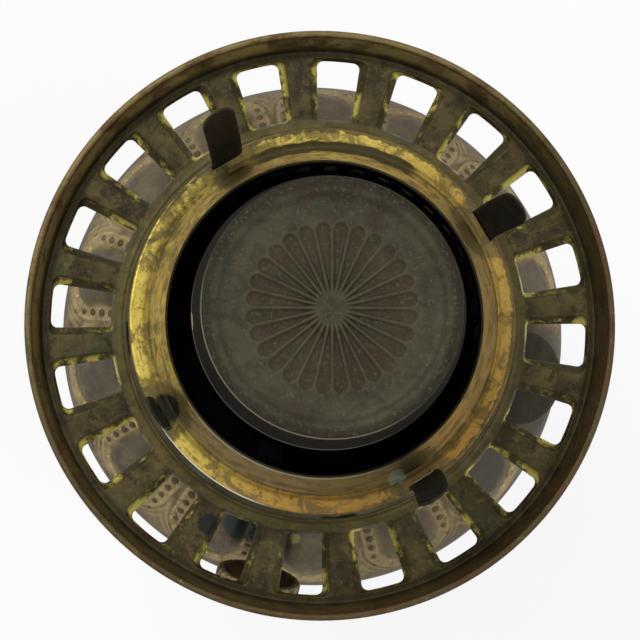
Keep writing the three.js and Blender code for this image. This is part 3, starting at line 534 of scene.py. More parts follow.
def stadium(width, low, high, steps=12):
    """A tall slot with round ends."""
    radius = width / 2
    points = []
    for height, start in ((high - radius, 0), (low + radius, 180)):
        for k in range(steps + 1):
            angle = math.radians(start + 180 * k / steps)
            points.append((radius * math.cos(angle), height + radius * math.sin(angle)))
    return points


def set_shares(piece, name, values):
    attribute = piece.data.attributes.new(name, "FLOAT", "POINT")
    attribute.data.foreach_set("value", np.asarray(values, np.float32))


def smooth(low, high, value):
    t = np.clip((value - low) / (high - low), 0, 1)
    return t * t * (3 - 2 * t)


def bell(distance, width):
    return np.exp(-(distance / width) ** 2)


# Nodes

def feed(tree, socket, source):
    """A link from another node's output, or a value."""
    if isinstance(source, bpy.types.NodeSocket):
        tree.links.new(source, socket)
    else:
        socket.default_value = source


def add_node(tree, kind, inputs, **settings):
    """A new node, with its inputs given by name or number."""
    node = tree.nodes.new(kind)
    for key, value in settings.items():
        setattr(node, key, value)
    for key, source in inputs.items():
        feed(tree, node.inputs[key], source)
    return node


# Finishes

def colour(text):
    """Linear colour from a written one."""
    parts = [int(text[i:i + 2], 16) / 255 for i in (1, 3, 5)]
    return tuple(p / 12.92 if p <= 0.04045 else ((p + 0.055) / 1.055) ** 2.4 for p in parts) + (1,)


class Finish:
    """A node material whose base colour is laid on in coats."""

    def __init__(self, name):
        self.material = bpy.data.materials.new(name)
        self.material.use_nodes = True
        self.tree = self.material.node_tree
        self.shader = self.tree.nodes["Principled BSDF"]
        self.place = self.add("TexCoord", {}, "Object")
        self.base = None
        self.normal = None

    def add(self, kind, inputs, output=0, **settings):
        return add_node(self.tree, "ShaderNode" + kind, inputs, **settings).outputs[output]

    def sum(self, operation, *sources):
        return self.add("Math", dict(enumerate(sources)), operation=operation)

    def times(self, first, second):
        return self.sum("MULTIPLY", first, second)

    def plus(self, first, second):
        return self.sum("ADD", first, second)

    def minus(self, first, second):
        return self.sum("SUBTRACT", first, second)

    def larger(self, first, second):
        return self.sum("MAXIMUM", first, second)

    def vary(self, share, spread, level):
        """The level, raised by a share of the spread."""
        return self.plus(self.times(share, spread), level)

    def ramp(self, source, low, high):
        """From 0 at the first value to 1 at the second, whichever is larger."""
        inputs = {"Value": source, "From Min": low, "From Max": high}
        return self.add("MapRange", inputs, interpolation_type="SMOOTHSTEP")

    def band(self, value, low, high, edge):
        """1 where the value is between two limits, with soft edges."""
        return self.times(self.ramp(value, low - edge, low), self.ramp(value, high + edge, high))

    def mix(self, share, first, second):
        return self.add("Mix", {0: share, 6: first, 7: second}, 2, data_type="RGBA")

    def share(self, name):
        return self.add("Attribute", {}, "Fac", attribute_name=name)

    # Masks by place

    def axes(self):
        return add_node(self.tree, "ShaderNodeSeparateXYZ", {0: self.place}).outputs

    def distance(self):
        """Distance from the axis of the lamp, in metres."""
        x, y, _ = self.axes()
        return self.sum("SQRT", self.plus(self.times(x, x), self.times(y, y)))

    def radius(self):
        """Distance from the axis of the lamp, in millimetres."""
        return self.sum("DIVIDE", self.distance(), MM)

    def toward(self, azimuth, radius):
        """From -1 to 1 across a circle of that radius, in one direction."""
        x, y, _ = self.axes()
        angle = math.radians(azimuth)
        along = self.plus(self.times(x, math.cos(angle)), self.times(y, math.sin(angle)))
        return self.sum("DIVIDE", along, radius * MM)

    def sector(self, azimuth, half, edge=8):
        """1 within that many degrees of one direction from the axis, 0 elsewhere."""
        ahead = self.sum("DIVIDE", self.toward(azimuth, 1 / MM), self.distance())
        full = math.radians(max(half - edge, 0))
        return self.ramp(ahead, math.cos(math.radians(half)), math.cos(full))

    def spot(self, azimuth, radius, height, reach, wobble=0.5):
        """A ragged patch round one point, which is given in millimetres."""
        angle = math.radians(azimuth)
        point = Vector((radius * math.cos(angle), radius * math.sin(angle), height)) * MM
        away = self.add("VectorMath", {0: self.place, 1: point}, "Value", operation="DISTANCE")
        away = self.sum("DIVIDE", away, reach * MM)
        ragged = self.minus(self.noise(reach * 0.6, 4, 0.7), 0.5)
        return self.ramp(self.plus(away, self.times(ragged, 2 * wobble)), 1.0, 0.75)

    # Masks by noise

    def noise(self, size, detail=4, roughness=0.6, distortion=0.0, place=None):
        """Noise with features of about that many millimetres."""
        return self.add("TexNoise", {
            "Vector": place or self.place, "Scale": 1 / (size * MM),
            "Detail": detail, "Roughness": roughness, "Distortion": distortion,
        }, "Fac")

    def patches(self, low, high, *noise):
        """Patches with soft edges, from noise between two levels."""
        return self.ramp(self.noise(*noise), low, high)

    def streaks(self, size, stretch):
        """Noise that is drawn out along circles round the axis."""
        x, y, _ = self.axes()
        x, y = (self.sum("DIVIDE", axis, stretch) for axis in (x, y))
        place = self.add("CombineXYZ", {0: self.distance(), 1: x, 2: y})
        return self.noise(size, 6, 0.7, 0.3, place)

    # Coats, each with a written colour

    def coat(self, dark, pale, share):
        """The first coat, from two colours."""
        self.base = self.mix(share, colour(dark), colour(pale))

    def lay(self, tone, amount, share):
        """A colour over the base, where a mask says."""
        self.base = self.mix(self.times(share, amount), self.base, colour(tone))

    def fade(self, tone, amount, value, low, high):
        """A colour over the base, fading in between two levels of a value."""
        self.lay(tone, amount, self.ramp(value, low, high))

    def stain(self, tone, amount, low, high, *noise):
        """A colour over the base, in patches."""
        self.lay(tone, amount, self.patches(low, high, *noise))

    def blot(self, tone, amount, *place):
        """A colour over the base, in one spot."""
        self.lay(tone, amount, self.spot(*place))

    # Relief and gloss

    def bump(self, height, distance, strength):
        inputs = {"Strength": strength, "Distance": distance * MM, "Height": height}
        if self.normal is not None:
            inputs["Normal"] = self.normal
        self.normal = self.add("Bump", inputs)

    def grain(self, size, depth):
        """A fine grain of the surface. Its noise also varies the roughness."""
        fine = self.noise(size, 3, 0.6)
        self.bump(fine, depth, 0.5)
        return fine

    def done(self, roughness, metallic, gloss=0.3):
        for name, source in {
            "Base Color": self.base, "Roughness": roughness, "Metallic": metallic,
            "Normal": self.normal, "Specular IOR Level": gloss,
        }.items():
            feed(self.tree, self.shader.inputs[name], source)
        return self.material


def mottled(name, dark, pale, size, metallic, roughness, specks=None, gloss=0.3):
    """Old metal or fibre: two tones in patches, with specks and a fine grain."""
    finish = Finish(name)
    finish.coat(dark, pale, finish.patches(0.36, 0.66, size, 6, 0.65, 0.4))
    if specks:
        finish.stain(specks, 1.0, 0.6, 0.74, size / 4, 5, 0.7)
    fine = finish.grain(0.5, 0.04)
    return finish.done(finish.vary(fine, 0.2, roughness - 0.1), metallic, gloss)


# Stains: colour, amount, the two levels of the noise, then its size, detail, roughness and distortion.
PLATE_STAINS = (
    ("#3a3f28", 0.5, 0.52, 0.66, 10, 4, 0.6),
    ("#5f5532", 0.55, 0.5, 0.66, 2.2, 7, 0.75, 0.3),
    ("#1d180d", 0.8, 0.5, 0.64, 2.7, 7, 0.8, 0.2),
    ("#7c744a", 0.35, 0.6, 0.74, 0.6, 4, 0.7),
)
RIM_STAINS = (
    ("#3f331c", 0.5, 0.52, 0.66, 1.6, 6, 0.75),
    ("#8d8052", 0.6, 0.58, 0.7, 1.1, 6, 0.75),
    ("#b0a45c", 0.8, 0.66, 0.74, 0.8, 4, 0.7),
)
DISC_STAINS = (
    ("#3a2d27", 0.5, 0.45, 0.7, 9, 4, 0.6),
    ("#31372a", 0.5, 0.5, 0.68, 5, 4, 0.6),
)
DISC_GRAIN = (
    ("#231f18", 0.6, 0.5, 0.66, 0.7, 6, 0.8),
    ("#68634f", 0.5, 0.52, 0.66, 0.7, 6, 0.8),
)

# Spots: colour, amount, azimuth, radius, height, reach and raggedness.
WINDOW_SPOT = ("#12181a", 0.9, 240.7, 41.9, PLATE, 2.2)
SEAT_SPOTS = (
    *(("#50472c", 0.7, azimuth, PRONG_BASE - 0.5, LEDGE, 6.4, 0.5) for azimuth in PRONG_AZIMUTHS),
    ("#1f1f18", 0.95, PRONG_AZIMUTHS[2] - 1, 32.3, LEDGE, 3.0, 0.3),
    ("#87927a", 0.6, 295, 30.6, LEDGE, 1.9, 0.9),
)
FONT_SPOTS = (
    ("#393a32", 0.75, 320, 43, SHOULDER_TOP - 5.5, 6.5, 0.3),
    ("#3f3726", 0.75, 345, 41, SHOULDER_TOP - 5, 15, 0.15),
    ("#30393b", 0.88, 250, 40, SHOULDER_TOP - 4.0, 5.2, 0.2),
    ("#b9ae6c", 0.8, 264, 40.5, SHOULDER_TOP - 4.2, 1.9),
)
DISC_SPOT = ("#b18f6a", 0.9, 184, DISC_SKIRT, SPREADER_BOTTOM + 1.2, 1.7, 0.3)

# Sectors of the seat, as azimuth, half width and soft edge in degrees, the mouth's with a colour.
BRIGHT_SECTORS = ((172, 10, 4), (59, 8, 5), (10, 9, 5))
MOUTH_SECTORS = (("#7b6c50", 243, 34, 14), ("#57532f", 286, 24, 14), ("#8c784a", 15, 34, 14))
DRUM_RADIUS = 28.4


def gallery_brass():
    finish = Finish("gallery_brass")
    radius = finish.radius()
    patches = finish.patches(0.36, 0.64, 7, 6, 0.65, 0.6)
    finish.coat("#55482a", "#675936", patches)
    # Painted light and shade: the rim is lighter towards azimuth 115 and darker towards azimuth 345.
    finish.fade("#a8935c", 0.85, finish.toward(115, RIM_RADIUS), -0.2, 0.8)
    finish.fade("#38291a", 0.55, finish.toward(345, RIM_RADIUS), 0.2, 0.8)
    finish.fade("#4a3f29", 0.6, radius, RIM_RADIUS - 1.6, RIM_RADIUS - 1.2)
    finish.stain("#523622", 0.7, 0.5, 0.62, 8, 5, 0.6)
    finish.fade("#382c18", 0.6, finish.streaks(1.1, 5), 0.5, 0.64)
    for stain in RIM_STAINS:
        finish.stain(*stain)
    rim = finish.base

    finish.coat("#2f2715", "#4a4124", patches)
    for stain in PLATE_STAINS:
        finish.stain(*stain)
    # Painted light: the plate is a little lighter inside the windows' inner ends, towards the seat.
    finish.fade("#766a3d", 0.2, radius, WINDOW_INNER - 0.1, WINDOW_INNER - 0.5)
    # Dirt and painted shade: a darker band where the plate turns up into the rim.
    finish.lay("#2a2215", 0.5, finish.band(radius, PLATE_OUTER - 0.2, PLATE_OUTER + 0.9, 0.5))
    outer = finish.ramp(radius, PLATE_OUTER + 1.1, PLATE_OUTER + 1.7)
    finish.base = finish.mix(outer, finish.base, rim)

    # The turned-down window edges: a dark base, then yellow patches for worn brass and painted
    # highlight, slightly more on one side of each window.
    edges = finish.share("edge")
    drift = finish.plus(finish.noise(5, 3, 0.5), finish.times(finish.noise(1.1, 5, 0.75), 0.5))
    drift = finish.plus(drift, finish.times(finish.share("worn"), 0.06))
    finish.lay("#39331a", 0.6, edges)
    finish.lay("#857a36", 0.8, finish.times(finish.ramp(drift, 0.75, 0.81), edges))
    finish.lay("#c5ba5c", 0.9, finish.times(finish.ramp(drift, 0.81, 0.88), edges))
    finish.lay("#4c441f", 0.55, finish.times(finish.patches(0.52, 0.64, 0.6, 5, 0.75), edges))
    finish.blot(*WINDOW_SPOT)
    finish.bump(finish.noise(2.2, 4, 0.6), 0.16, 0.4)
    return finish.done(finish.vary(finish.grain(0.45, 0.05), 0.25, 0.42), 0.45, 0.2)


def seat_brass():
    finish = Finish("seat_brass")
    radius = finish.radius()
    _, _, height = finish.axes()
    # Painted light: the gold is lighter towards azimuth 150.
    finish.coat("#92773a", "#bda850", finish.ramp(finish.toward(150, SEAT_LIP - 0.8), -0.5, 0.6))
    finish.lay("#94662c", 0.45, finish.sector(290, 70, 45))
    finish.stain("#7b6834", 0.45, 0.45, 0.65, 1.0, 6, 0.75)
    clean = 0.0
    for sector in BRIGHT_SECTORS:
        clean = finish.larger(clean, finish.sector(*sector))
    drag = finish.noise(4.2, 7, 0.72, 0.7)
    tarnish = finish.ramp(finish.minus(drag, finish.times(clean, 0.1)), 0.47, 0.57)
    finish.lay("#584c2b", 0.7, tarnish)
    worn = finish.streaks(0.7, 6)
    finish.fade("#5b4724", 0.6, worn, 0.52, 0.68)
    dim = finish.times(finish.sector(130, 38), finish.patches(0.44, 0.56, 2.6, 7, 0.75, 0.4))
    finish.lay("#5a4f2d", 0.7, dim)
    finish.stain("#41290f", 0.75, 0.57, 0.66, 1.1, 6, 0.75)
    finish.lay("#43371c", 0.7, finish.band(radius, GROOVE - 0.05, GROOVE + 0.2, 0.25))

    ragged = finish.plus(radius, finish.times(finish.noise(1.3, 5, 0.7), 2.4))
    shaded = finish.minus(1.0, finish.sector(215, 75, 20))
    wall = finish.ramp(ragged, SEAT_LIP + 0.3, SEAT_LIP + 0.5)
    finish.lay("#484027", 0.85, finish.times(wall, shaded))
    inner = finish.ramp(radius, GROOVE, SEAT_INNER)
    finish.lay("#ab9058", 0.45, inner)
    for tone, *sector in MOUTH_SECTORS:
        finish.lay(tone, 0.65, finish.times(inner, finish.sector(*sector)))
    finish.lay("#4f4024", 0.55, finish.times(inner, finish.ramp(worn, 0.46, 0.6)))
    # A darker band on the ledge towards azimuth 86.
    dark_band = finish.plus(radius, finish.times(finish.noise(3.5, 3, 0.5), 1.4))
    dark_band = finish.times(finish.sector(86, 30, 5), finish.band(dark_band, GROOVE - 0.1, GROOVE + 1.8, 0.2))
    finish.lay("#3e3620", 0.95, dark_band)
    for spot in SEAT_SPOTS:
        finish.blot(*spot)

    # Painted highlight: a near-white line on the lip's outer edge towards azimuth 233.
    lip = finish.ramp(radius, SEAT_LIP - 0.25, SEAT_LIP - 0.1)
    finish.lay("#efe9d6", 0.85, finish.times(lip, finish.sector(233, 22, 10)))
    # Painted highlight: a pale line along the mouth's edge towards azimuth 250.
    hem = finish.ramp(radius, MOUTH + 0.25, MOUTH + 0.1)
    finish.lay("#c3b99c", 0.5, finish.times(hem, finish.sector(250, 45, 20)))
    finish.fade("#16120c", 0.95, radius, MOUTH, MOUTH - 0.15)
    low = finish.ramp(height, (LEDGE - 0.25) * MM, (LEDGE - 0.55) * MM)
    finish.lay("#40391f", 1.0, low)
    finish.lay("#6a6038", 0.7, finish.times(low, finish.patches(0.48, 0.62, 1.5, 6, 0.75)))
    # Painted shade: the inner face of the wall, below the ledge, is near black.
    slope = finish.times(finish.minus(finish.sum("DIVIDE", height, MM), PLATE), WALL_LEAN)
    within = finish.ramp(finish.plus(radius, slope), SEAT_FOOT - 0.2, SEAT_FOOT - 0.35)
    finish.lay("#0d0b09", 1.0, finish.times(low, within))

    finish.bump(finish.noise(2.4, 5, 0.65), 0.14, 0.5)
    finish.grain(0.4, 0.04)
    dull = finish.larger(low, finish.times(finish.larger(tarnish, inner), 0.6))
    rough = finish.plus(finish.times(drag, 0.3), finish.vary(dull, 0.3, 0.28))
    return finish.done(rough, finish.minus(0.85, finish.times(dull, 0.6)), 0.25)


def font_plate():
    finish = Finish("font_plate")
    _, _, height = finish.axes()
    patches = finish.patches(0.36, 0.64, 5, 6, 0.65, 0.4)
    finish.coat("#574e3c", "#70654d", patches)
    finish.stain("#5d5654", 0.4, 0.45, 0.62, 9, 3, 0.5)
    panel = finish.base
    finish.coat("#5f5238", "#8b7b56", patches)
    worn = finish.patches(0.3, 0.55, 1.6, 5, 0.7)
    finish.lay("#bfac7b", 0.85, finish.times(finish.share("relief"), worn))
    finish.base = finish.mix(finish.share("arch"), finish.base, panel)
    # Dark tops of the larger beads: tarnish, and painted dark reflection.
    finish.lay("#4a3820", 0.65, finish.share("dot"))
    # Painted shade: the font is darker towards azimuth 95, under the gallery.
    finish.fade("#4d3d2b", 0.4, finish.toward(95, BELLY_RADIUS), 0.45, 0.85)
    # Painted shade: near black within about 33 mm of the axis.
    finish.fade("#0d0b08", 0.96, finish.radius(), 34.5, 33.0)
    finish.stain("#41382a", 0.6, 0.58, 0.72, 2.4, 5, 0.7, 0.5)
    finish.fade("#3a2b1c", 0.8, height, (BELLY + 3.2) * MM, (BELLY + 0.6) * MM)
    for spot in FONT_SPOTS:
        finish.blot(*spot)
    finish.lay("#4c3f2d", 0.4, finish.sector(296, 24, 12))
    return finish.done(finish.vary(finish.grain(0.4, 0.03), 0.2, 0.36), 0.55)


def slate():
    finish = Finish("slate")
    radius = finish.radius()
    finish.coat("#343126", "#464334", finish.patches(0.36, 0.64, 6, 6, 0.65, 0.5))
    for stain in DISC_STAINS:
        finish.stain(*stain)
    finish.lay("#37291e", 0.5, finish.share("petal"))
    finish.lay("#565139", 0.3, finish.share("ridge"))
    finish.fade("#26231a", 0.75, radius, DISC_RADIUS - 2.4, DISC_RADIUS - 1.2)
    for stain in DISC_GRAIN:
        finish.stain(*stain)
    # Painted highlight: a pale line at the crest of the disc's rim on the side towards azimuth 235.
    near = finish.sector(235, 85, 45)
    crest = finish.band(radius, DISC_RADIUS - 0.35, DISC_RADIUS - 0.25, 0.1)
    finish.lay("#98907a", 0.55, finish.times(crest, near))
    # Painted shade: the skirt outside the disc's rim is near black, and rougher and less metallic.
    side = finish.ramp(radius, DISC_RADIUS - 0.15, DISC_RADIUS)
    finish.lay("#15130f", 0.9, side)
    # Painted highlight: a pale line along the skirt's lower edge on the side towards azimuth 235.
    hem = finish.ramp(radius, DISC_SKIRT - 0.2, DISC_SKIRT - 0.05)
    finish.lay("#8a8272", 0.6, finish.times(hem, near))
    finish.blot(*DISC_SPOT)
    finish.stain("#7a745f", 0.35, 0.72, 0.82, 0.8, 3, 0.6)
    finish.bump(finish.noise(1.3, 5, 0.7), 0.14, 0.6)
    fine = finish.noise(0.35, 4, 0.65)
    finish.bump(fine, 0.06, 0.7)
    rough = finish.plus(finish.vary(fine, 0.25, 0.45), finish.times(side, 0.3))
    return finish.done(rough, finish.minus(0.3, finish.times(side, 0.3)), 0.07)


def sooted(name, reach):
    """Old brass outside that radius and soot within it."""
    finish = Finish(name)
    finish.coat("#3a321f", "#5e5532", finish.patches(0.36, 0.66, 6, 6, 0.65, 0.4))
    finish.stain("#7d7444", 1.0, 0.6, 0.74, 1.5, 5, 0.7)
    bare = finish.ramp(finish.radius(), reach - 0.2, reach)
    finish.lay("#080706", 1.0, finish.minus(1.0, bare))
    rough = finish.vary(finish.grain(0.5, 0.04), 0.1, 0.88)
    rough = finish.minus(rough, finish.times(bare, 0.35))
    return finish.done(rough, finish.times(bare, 0.4), 0.05)


def black_spring():
    finish = Finish("black_spring")
    _, _, height = finish.axes()
    finish.coat("#1b1a15", "#28261e", finish.patches(0.36, 0.66, 2, 6, 0.65, 0.4))
    tip = finish.ramp(height, (LEDGE + 9) * MM, (LEDGE + 14) * MM)
    finish.lay("#392b20", 0.6, finish.times(tip, finish.sector(PRONG_AZIMUTHS[1], 25)))
    finish.stain("#4a402d", 0.5, 0.6, 0.74, 0.6, 5, 0.7)
    return finish.done(finish.vary(finish.grain(0.4, 0.07), 0.2, 0.5), 0.2, 0.12)


def brown_knob():
    finish = Finish("brown_knob")
    finish.coat("#3b2810", "#54391a", finish.patches(0.36, 0.66, 3, 6, 0.65, 0.4))
    worn = finish.patches(0.36, 0.56, 1.8, 5, 0.7)
    finish.lay("#8d7c5c", 0.9, finish.times(finish.share("rim"), worn))
    return finish.done(finish.vary(finish.grain(0.5, 0.04), 0.2, 0.4), 0.4)


def wick_cotton():
    finish = Finish("wick_cotton")
    x, y, height = finish.axes()
    turn = finish.times(finish.sum("ARCTAN2", y, x), WICK_STRANDS)
    rise = finish.times(height, math.pi / (WICK_STITCH * MM))
    finish.bump(finish.times(finish.sum("SINE", turn), finish.sum("SINE", rise)), 0.2, 0.8)
    finish.coat("#8c7b5c", "#b3a37f", finish.noise(3))
    finish.fade("#0a0908", 1.0, height, (TUBE_TOP - 7) * MM, (TUBE_TOP - 3) * MM)
    return finish.done(0.95, 0.0)


FINISHES = {
    "gallery": gallery_brass(),
    "seat": seat_brass(),
    "font": font_plate(),
    "slate": slate(),
    "wick": wick_cotton(),
    "brass": mottled("old_brass", "#3a321f", "#5e5532", 6, 0.75, 0.5, "#7d7444"),
    "bright": mottled("bright_brass", "#7d6430", "#a88b45", 4, 0.9, 0.4, "#54431f"),
    "skirt": sooted("skirt_brass", SKIRT_OUTER + 0.3),
    "drum": sooted("drum_brass", DRUM_RADIUS),
    "soot": mottled("sooty_brass", "#060505", "#0b0a09", 5, 0.0, 0.9, "#100e0b", 0.04),
    "cap": mottled("cap_plate", "#2b2619", "#3d3627", 5, 0.3, 0.5, "#4e4631", 0.2),
    "spring": black_spring(),
    "knob": brown_knob(),
    "cork": mottled("cork", "#6d4f30", "#96734a", 1.5, 0.0, 0.9, "#3e2b18"),
    "packing": mottled("packing", "#24211d", "#3a352e", 0.8, 0.0, 0.95),
}


def dress(piece, finish):
    piece.data.materials.clear()
    piece.data.materials.append(FINISHES[finish])


def show(piece, finish, body, slot, *nodes):
    """Gives a new piece its finish and body, and hides the nodes it stands for."""
    dress(piece, finish)
    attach(piece, body)
    if nodes:
        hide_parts(*nodes)


# Gallery ring

def window_loop(growth, drop):
    """A window's outline grown outwards, as (radius, angle, height) rows."""
    low = WINDOW_INNER - growth * LIP_INNER_SHARE
    high = WINDOW_OUTER + growth * LIP_OUTER_SHARE
    half = math.radians(WINDOW_HALF) * WINDOW_MIDDLE + growth
    inner = WINDOW_INNER_CORNER + growth * LIP_INNER_SHARE
    outer = WINDOW_CORNER + growth * LIP_OUTER_SHARE
    corners = [
        (high - outer, half - outer, outer, 0),
        (low + inner, half - inner, inner, 90),
        (low + inner, inner - half, inner, 180),
        (high - outer, outer - half, outer, 270),
    ]
    loop = []
    for i, (x, y, reach, start) in enumerate(corners):
        for k in range(WINDOW_CORNER_STEPS + 1):
            angle = math.radians(start + k * 90 / WINDOW_CORNER_STEPS)
            loop.append((x + reach * math.cos(angle), y + reach * math.sin(angle)))
        nx, ny, next_reach, next_start = corners[(i + 1) % 4]
        angle = math.radians(next_start)
        end = (nx + next_reach * math.cos(angle), ny + next_reach * math.sin(angle))
        begin = loop[-1]
        for k in range(1, WINDOW_SIDE_STEPS):
            t = k / WINDOW_SIDE_STEPS
            loop.append(tuple(b + (e - b) * t for b, e in zip(begin, end)))
    return [(radius, across / WINDOW_MIDDLE, drop) for radius, across in loop]


def inside(loop, x, y):
    odd = False
    for (x0, y0), (x1, y1) in zip(loop, loop[1:] + loop[:1]):
        if (y0 > y) != (y1 > y) and x < (x1 - x0) * (y - y0) / (y1 - y0) + x0:
            odd = not odd
    return odd


def gallery_ring():
    angles = [2 * math.pi * i / FINE for i in range(FINE)]
    vertices = []

    def add_ring(radius, height):
        start = len(vertices)
        for angle in angles:
            vertices.append((radius * math.cos(angle), radius * math.sin(angle), height))
        return start

    add_ring(PLATE_INNER, PLATE)
    add_ring(PLATE_OUTER, PLATE)
    lip = fillet([
        (LIP_REACH, 0), (LIP_REACH - LIP_BEND, 0, LIP_BEND),
        (LIP_BEND, WINDOW_DEPTH - LIP_CURL, 0.4), (0, WINDOW_DEPTH),
    ], LIP_STEPS)
    rows = [window_loop(growth, drop) for growth, drop in lip]
    count = len(rows[0])
    starts = []
    for k in range(WINDOW_COUNT):
        centre = math.radians(WINDOW_AZIMUTH + k * 360 / WINDOW_COUNT)
        starts.append(len(vertices))
        for row in rows:
            for radius, angle, drop in row:
                turn = centre + angle
                vertices.append((radius * math.cos(turn), radius * math.sin(turn), PLATE - drop))

    flat = list(range(2 * FINE)) + [start + i for start in starts for i in range(count)]
    bounds = [range(FINE), range(FINE, 2 * FINE)]
    bounds += [range(2 * FINE + k * count, 2 * FINE + (k + 1) * count) for k in range(WINDOW_COUNT)]
    edges = [(b[i], b[(i + 1) % len(b)]) for b in bounds for i in range(len(b))]
    spots = [Vector(vertices[i][:2]) for i in flat]
    _, _, triangles, origins, _, _ = geometry.delaunay_2d_cdt(spots, edges, [], 0, TOLERANCE)
    loop = [(r * math.cos(a), r * math.sin(a)) for r, a, _ in rows[0]]
    faces = []
    for triangle in triangles:
        corners = [flat[origins[i][0]] for i in triangle]
        x, y = (sum(vertices[i][k] for i in corners) / 3 for k in (0, 1))
        radius = math.hypot(x, y)
        turn = math.degrees(math.atan2(y, x)) - WINDOW_AZIMUTH
        turn -= round(turn * WINDOW_COUNT / 360) * 360 / WINDOW_COUNT
        spot = (radius * math.cos(math.radians(turn)), radius * math.sin(math.radians(turn)))
        if radius < PLATE_INNER * (1 - TOLERANCE) or inside(loop, *spot):
            continue
        faces.append(tuple(corners))
    for start in starts:
        faces += grid_faces(len(rows), count, start=start)

    rim = raised(RIM_CURVE, PLATE)
    for k in range(RIM_BEAD_STEPS + 1):
        turn = math.radians(RIM_BEAD_START - k * RIM_BEAD_TURN / RIM_BEAD_STEPS)
        across, rise = RIM_BEAD * math.cos(turn), RIM_BEAD * math.sin(turn)
        rim.append((RIM_RADIUS - RIM_BEAD + across, RIM_TOP - RIM_BEAD + rise))
    for previous, line in ((FINE, rim), (0, raised(COLLAR_CURVE, PLATE))):
        for radius, height in line:
            current = add_ring(radius, height)
            faces += bridge(previous, current, FINE)
            previous = current

    piece = place_mesh("gallery_plate", vertices, faces)
    face_up(piece)
    set_edge_shares(piece)
    return thicken(piece, GALLERY_SHEET)


def face_up(piece):
    """Turns an open sheet so that its largest flat part faces up."""
    mesh = piece.data
    lean = sum(polygon.normal.z * polygon.area for polygon in mesh.polygons)
    if lean < 0:
        mesh.flip_normals()


def set_edge_shares(piece):
    """Marks the turned down edges of the windows."""
    edges, worn = [], []
    for vertex in piece.data.vertices:
        x, y, z = (value / MM for value in vertex.co)
        radius = math.hypot(x, y)
        near = WINDOW_INNER - EDGE_INNER < radius < WINDOW_OUTER + EDGE_OUTER
        edges.append(float(smooth(*EDGE_DEPTHS, PLATE - z)) if near else 0.0)
        # A share that rises across each window: slightly more worn brass and painted highlight on that
        # side.
        turn = math.degrees(math.atan2(y, x)) - WINDOW_AZIMUTH
        middle = round(turn * WINDOW_COUNT / 360) * 360 / WINDOW_COUNT + WINDOW_AZIMUTH
        across = y - radius * math.sin(math.radians(middle))
        worn.append(float(smooth(*WEAR_AND_GLINT_ACROSS, across)))
    set_shares(piece, "edge", edges)
    set_shares(piece, "worn", worn)


# Chimney seat and prongs

def chimney_seat():
    line = raised(SEAT_WALL_CURVE, PLATE) + raised(SEAT_CURVE, LEDGE)
    seat = lathe("seat_shell", sheet(line, SEAT_SHEET), FINE)
    half = PRONG_WIDTH / 2 + PRONG_CLEARANCE
    low, high = LEDGE - PRONG_SLOT_RISE, LEDGE + PRONG_SLOT_RISE
    slot = [(-half, low), (half, low), (half, high), (-half, high)]
    inner, outer = PRONG_BASE - PRONG_SLOT_INNER, PRONG_BASE + PRONG_SLOT_OUTER
    cuts = [radial_prism(slot, azimuth, inner, outer) for azimuth in PRONG_AZIMUTHS]
    slot = stadium(SEAT_SLOT_WIDTH, PLATE + SEAT_SLOT_LOW, PLATE + SEAT_SLOT_LOW + SEAT_SLOT_HEIGHT)
    for k in range(SEAT_SLOTS):
        azimuth = SEAT_SLOT_AZIMUTH + k * 360 / SEAT_SLOTS
        cuts.append(radial_prism(slot, azimuth, SEAT_LIP - 2, SEAT_FOOT + 1))
    return cut(seat, prisms("seat_cuts", cuts))


def prong_piece(name, azimuth, tip_radius, lean):
    slope = math.atan((SEAT_FOOT - SEAT_LIP) / (LEDGE - PLATE))
    foot = np.array((PRONG_BASE + PRONG_FOOT * math.sin(slope), LEDGE - PRONG_FOOT * math.cos(slope)))
    base = np.array((PRONG_BASE, LEDGE))
    bend = np.array((PRONG_BASE, LEDGE + PRONG_HEIGHT / 2))
    tip = np.array((tip_radius, LEDGE + PRONG_HEIGHT))
    body = np.linspace(0, 1 - PRONG_TIP_SHARE, PRONG_BODY_ROWS)
    end = 1 - PRONG_TIP_SHARE * (1 - np.linspace(0.08, 1, PRONG_TIP_ROWS)) ** 2
    shares = [*body, *end]
    line = [foot] + [(1 - t) ** 2 * base + 2 * t * (1 - t) * bend + t * t * tip for t in shares]
    angle = math.radians(azimuth)
    vertices = []
    for (radius, height), share in zip(line, [0.0, *shares]):
        half = (PRONG_WIDTH + (PRONG_TIP_WIDTH - PRONG_WIDTH) * share) / 2
        reach = half
        rounding = max(0, 1 - (1 - share) * PRONG_HEIGHT / PRONG_TIP_ROUND)
        half *= max(PRONG_END_SHARE, (1 - rounding ** PRONG_TIP_POWER) ** (1 / PRONG_TIP_POWER))
        for k in range(PRONG_COLUMNS):
            across = (2 * k / (PRONG_COLUMNS - 1) - 1) * half
            trough = PRONG_TROUGH * min(1, share / PRONG_TROUGH_SHARE)
            place = radius - trough * (across / reach) ** 2
            aside = across + lean * share ** 2
            vertices.append((
                place * math.cos(angle) - aside * math.sin(angle),
                place * math.sin(angle) + aside * math.cos(angle),
                height,
            ))
    piece = place_mesh(name, vertices, grid_faces(len(line), PRONG_COLUMNS, wrap=False))
    return thicken(piece, PRONG_SHEET, 0)


# Flame spreader

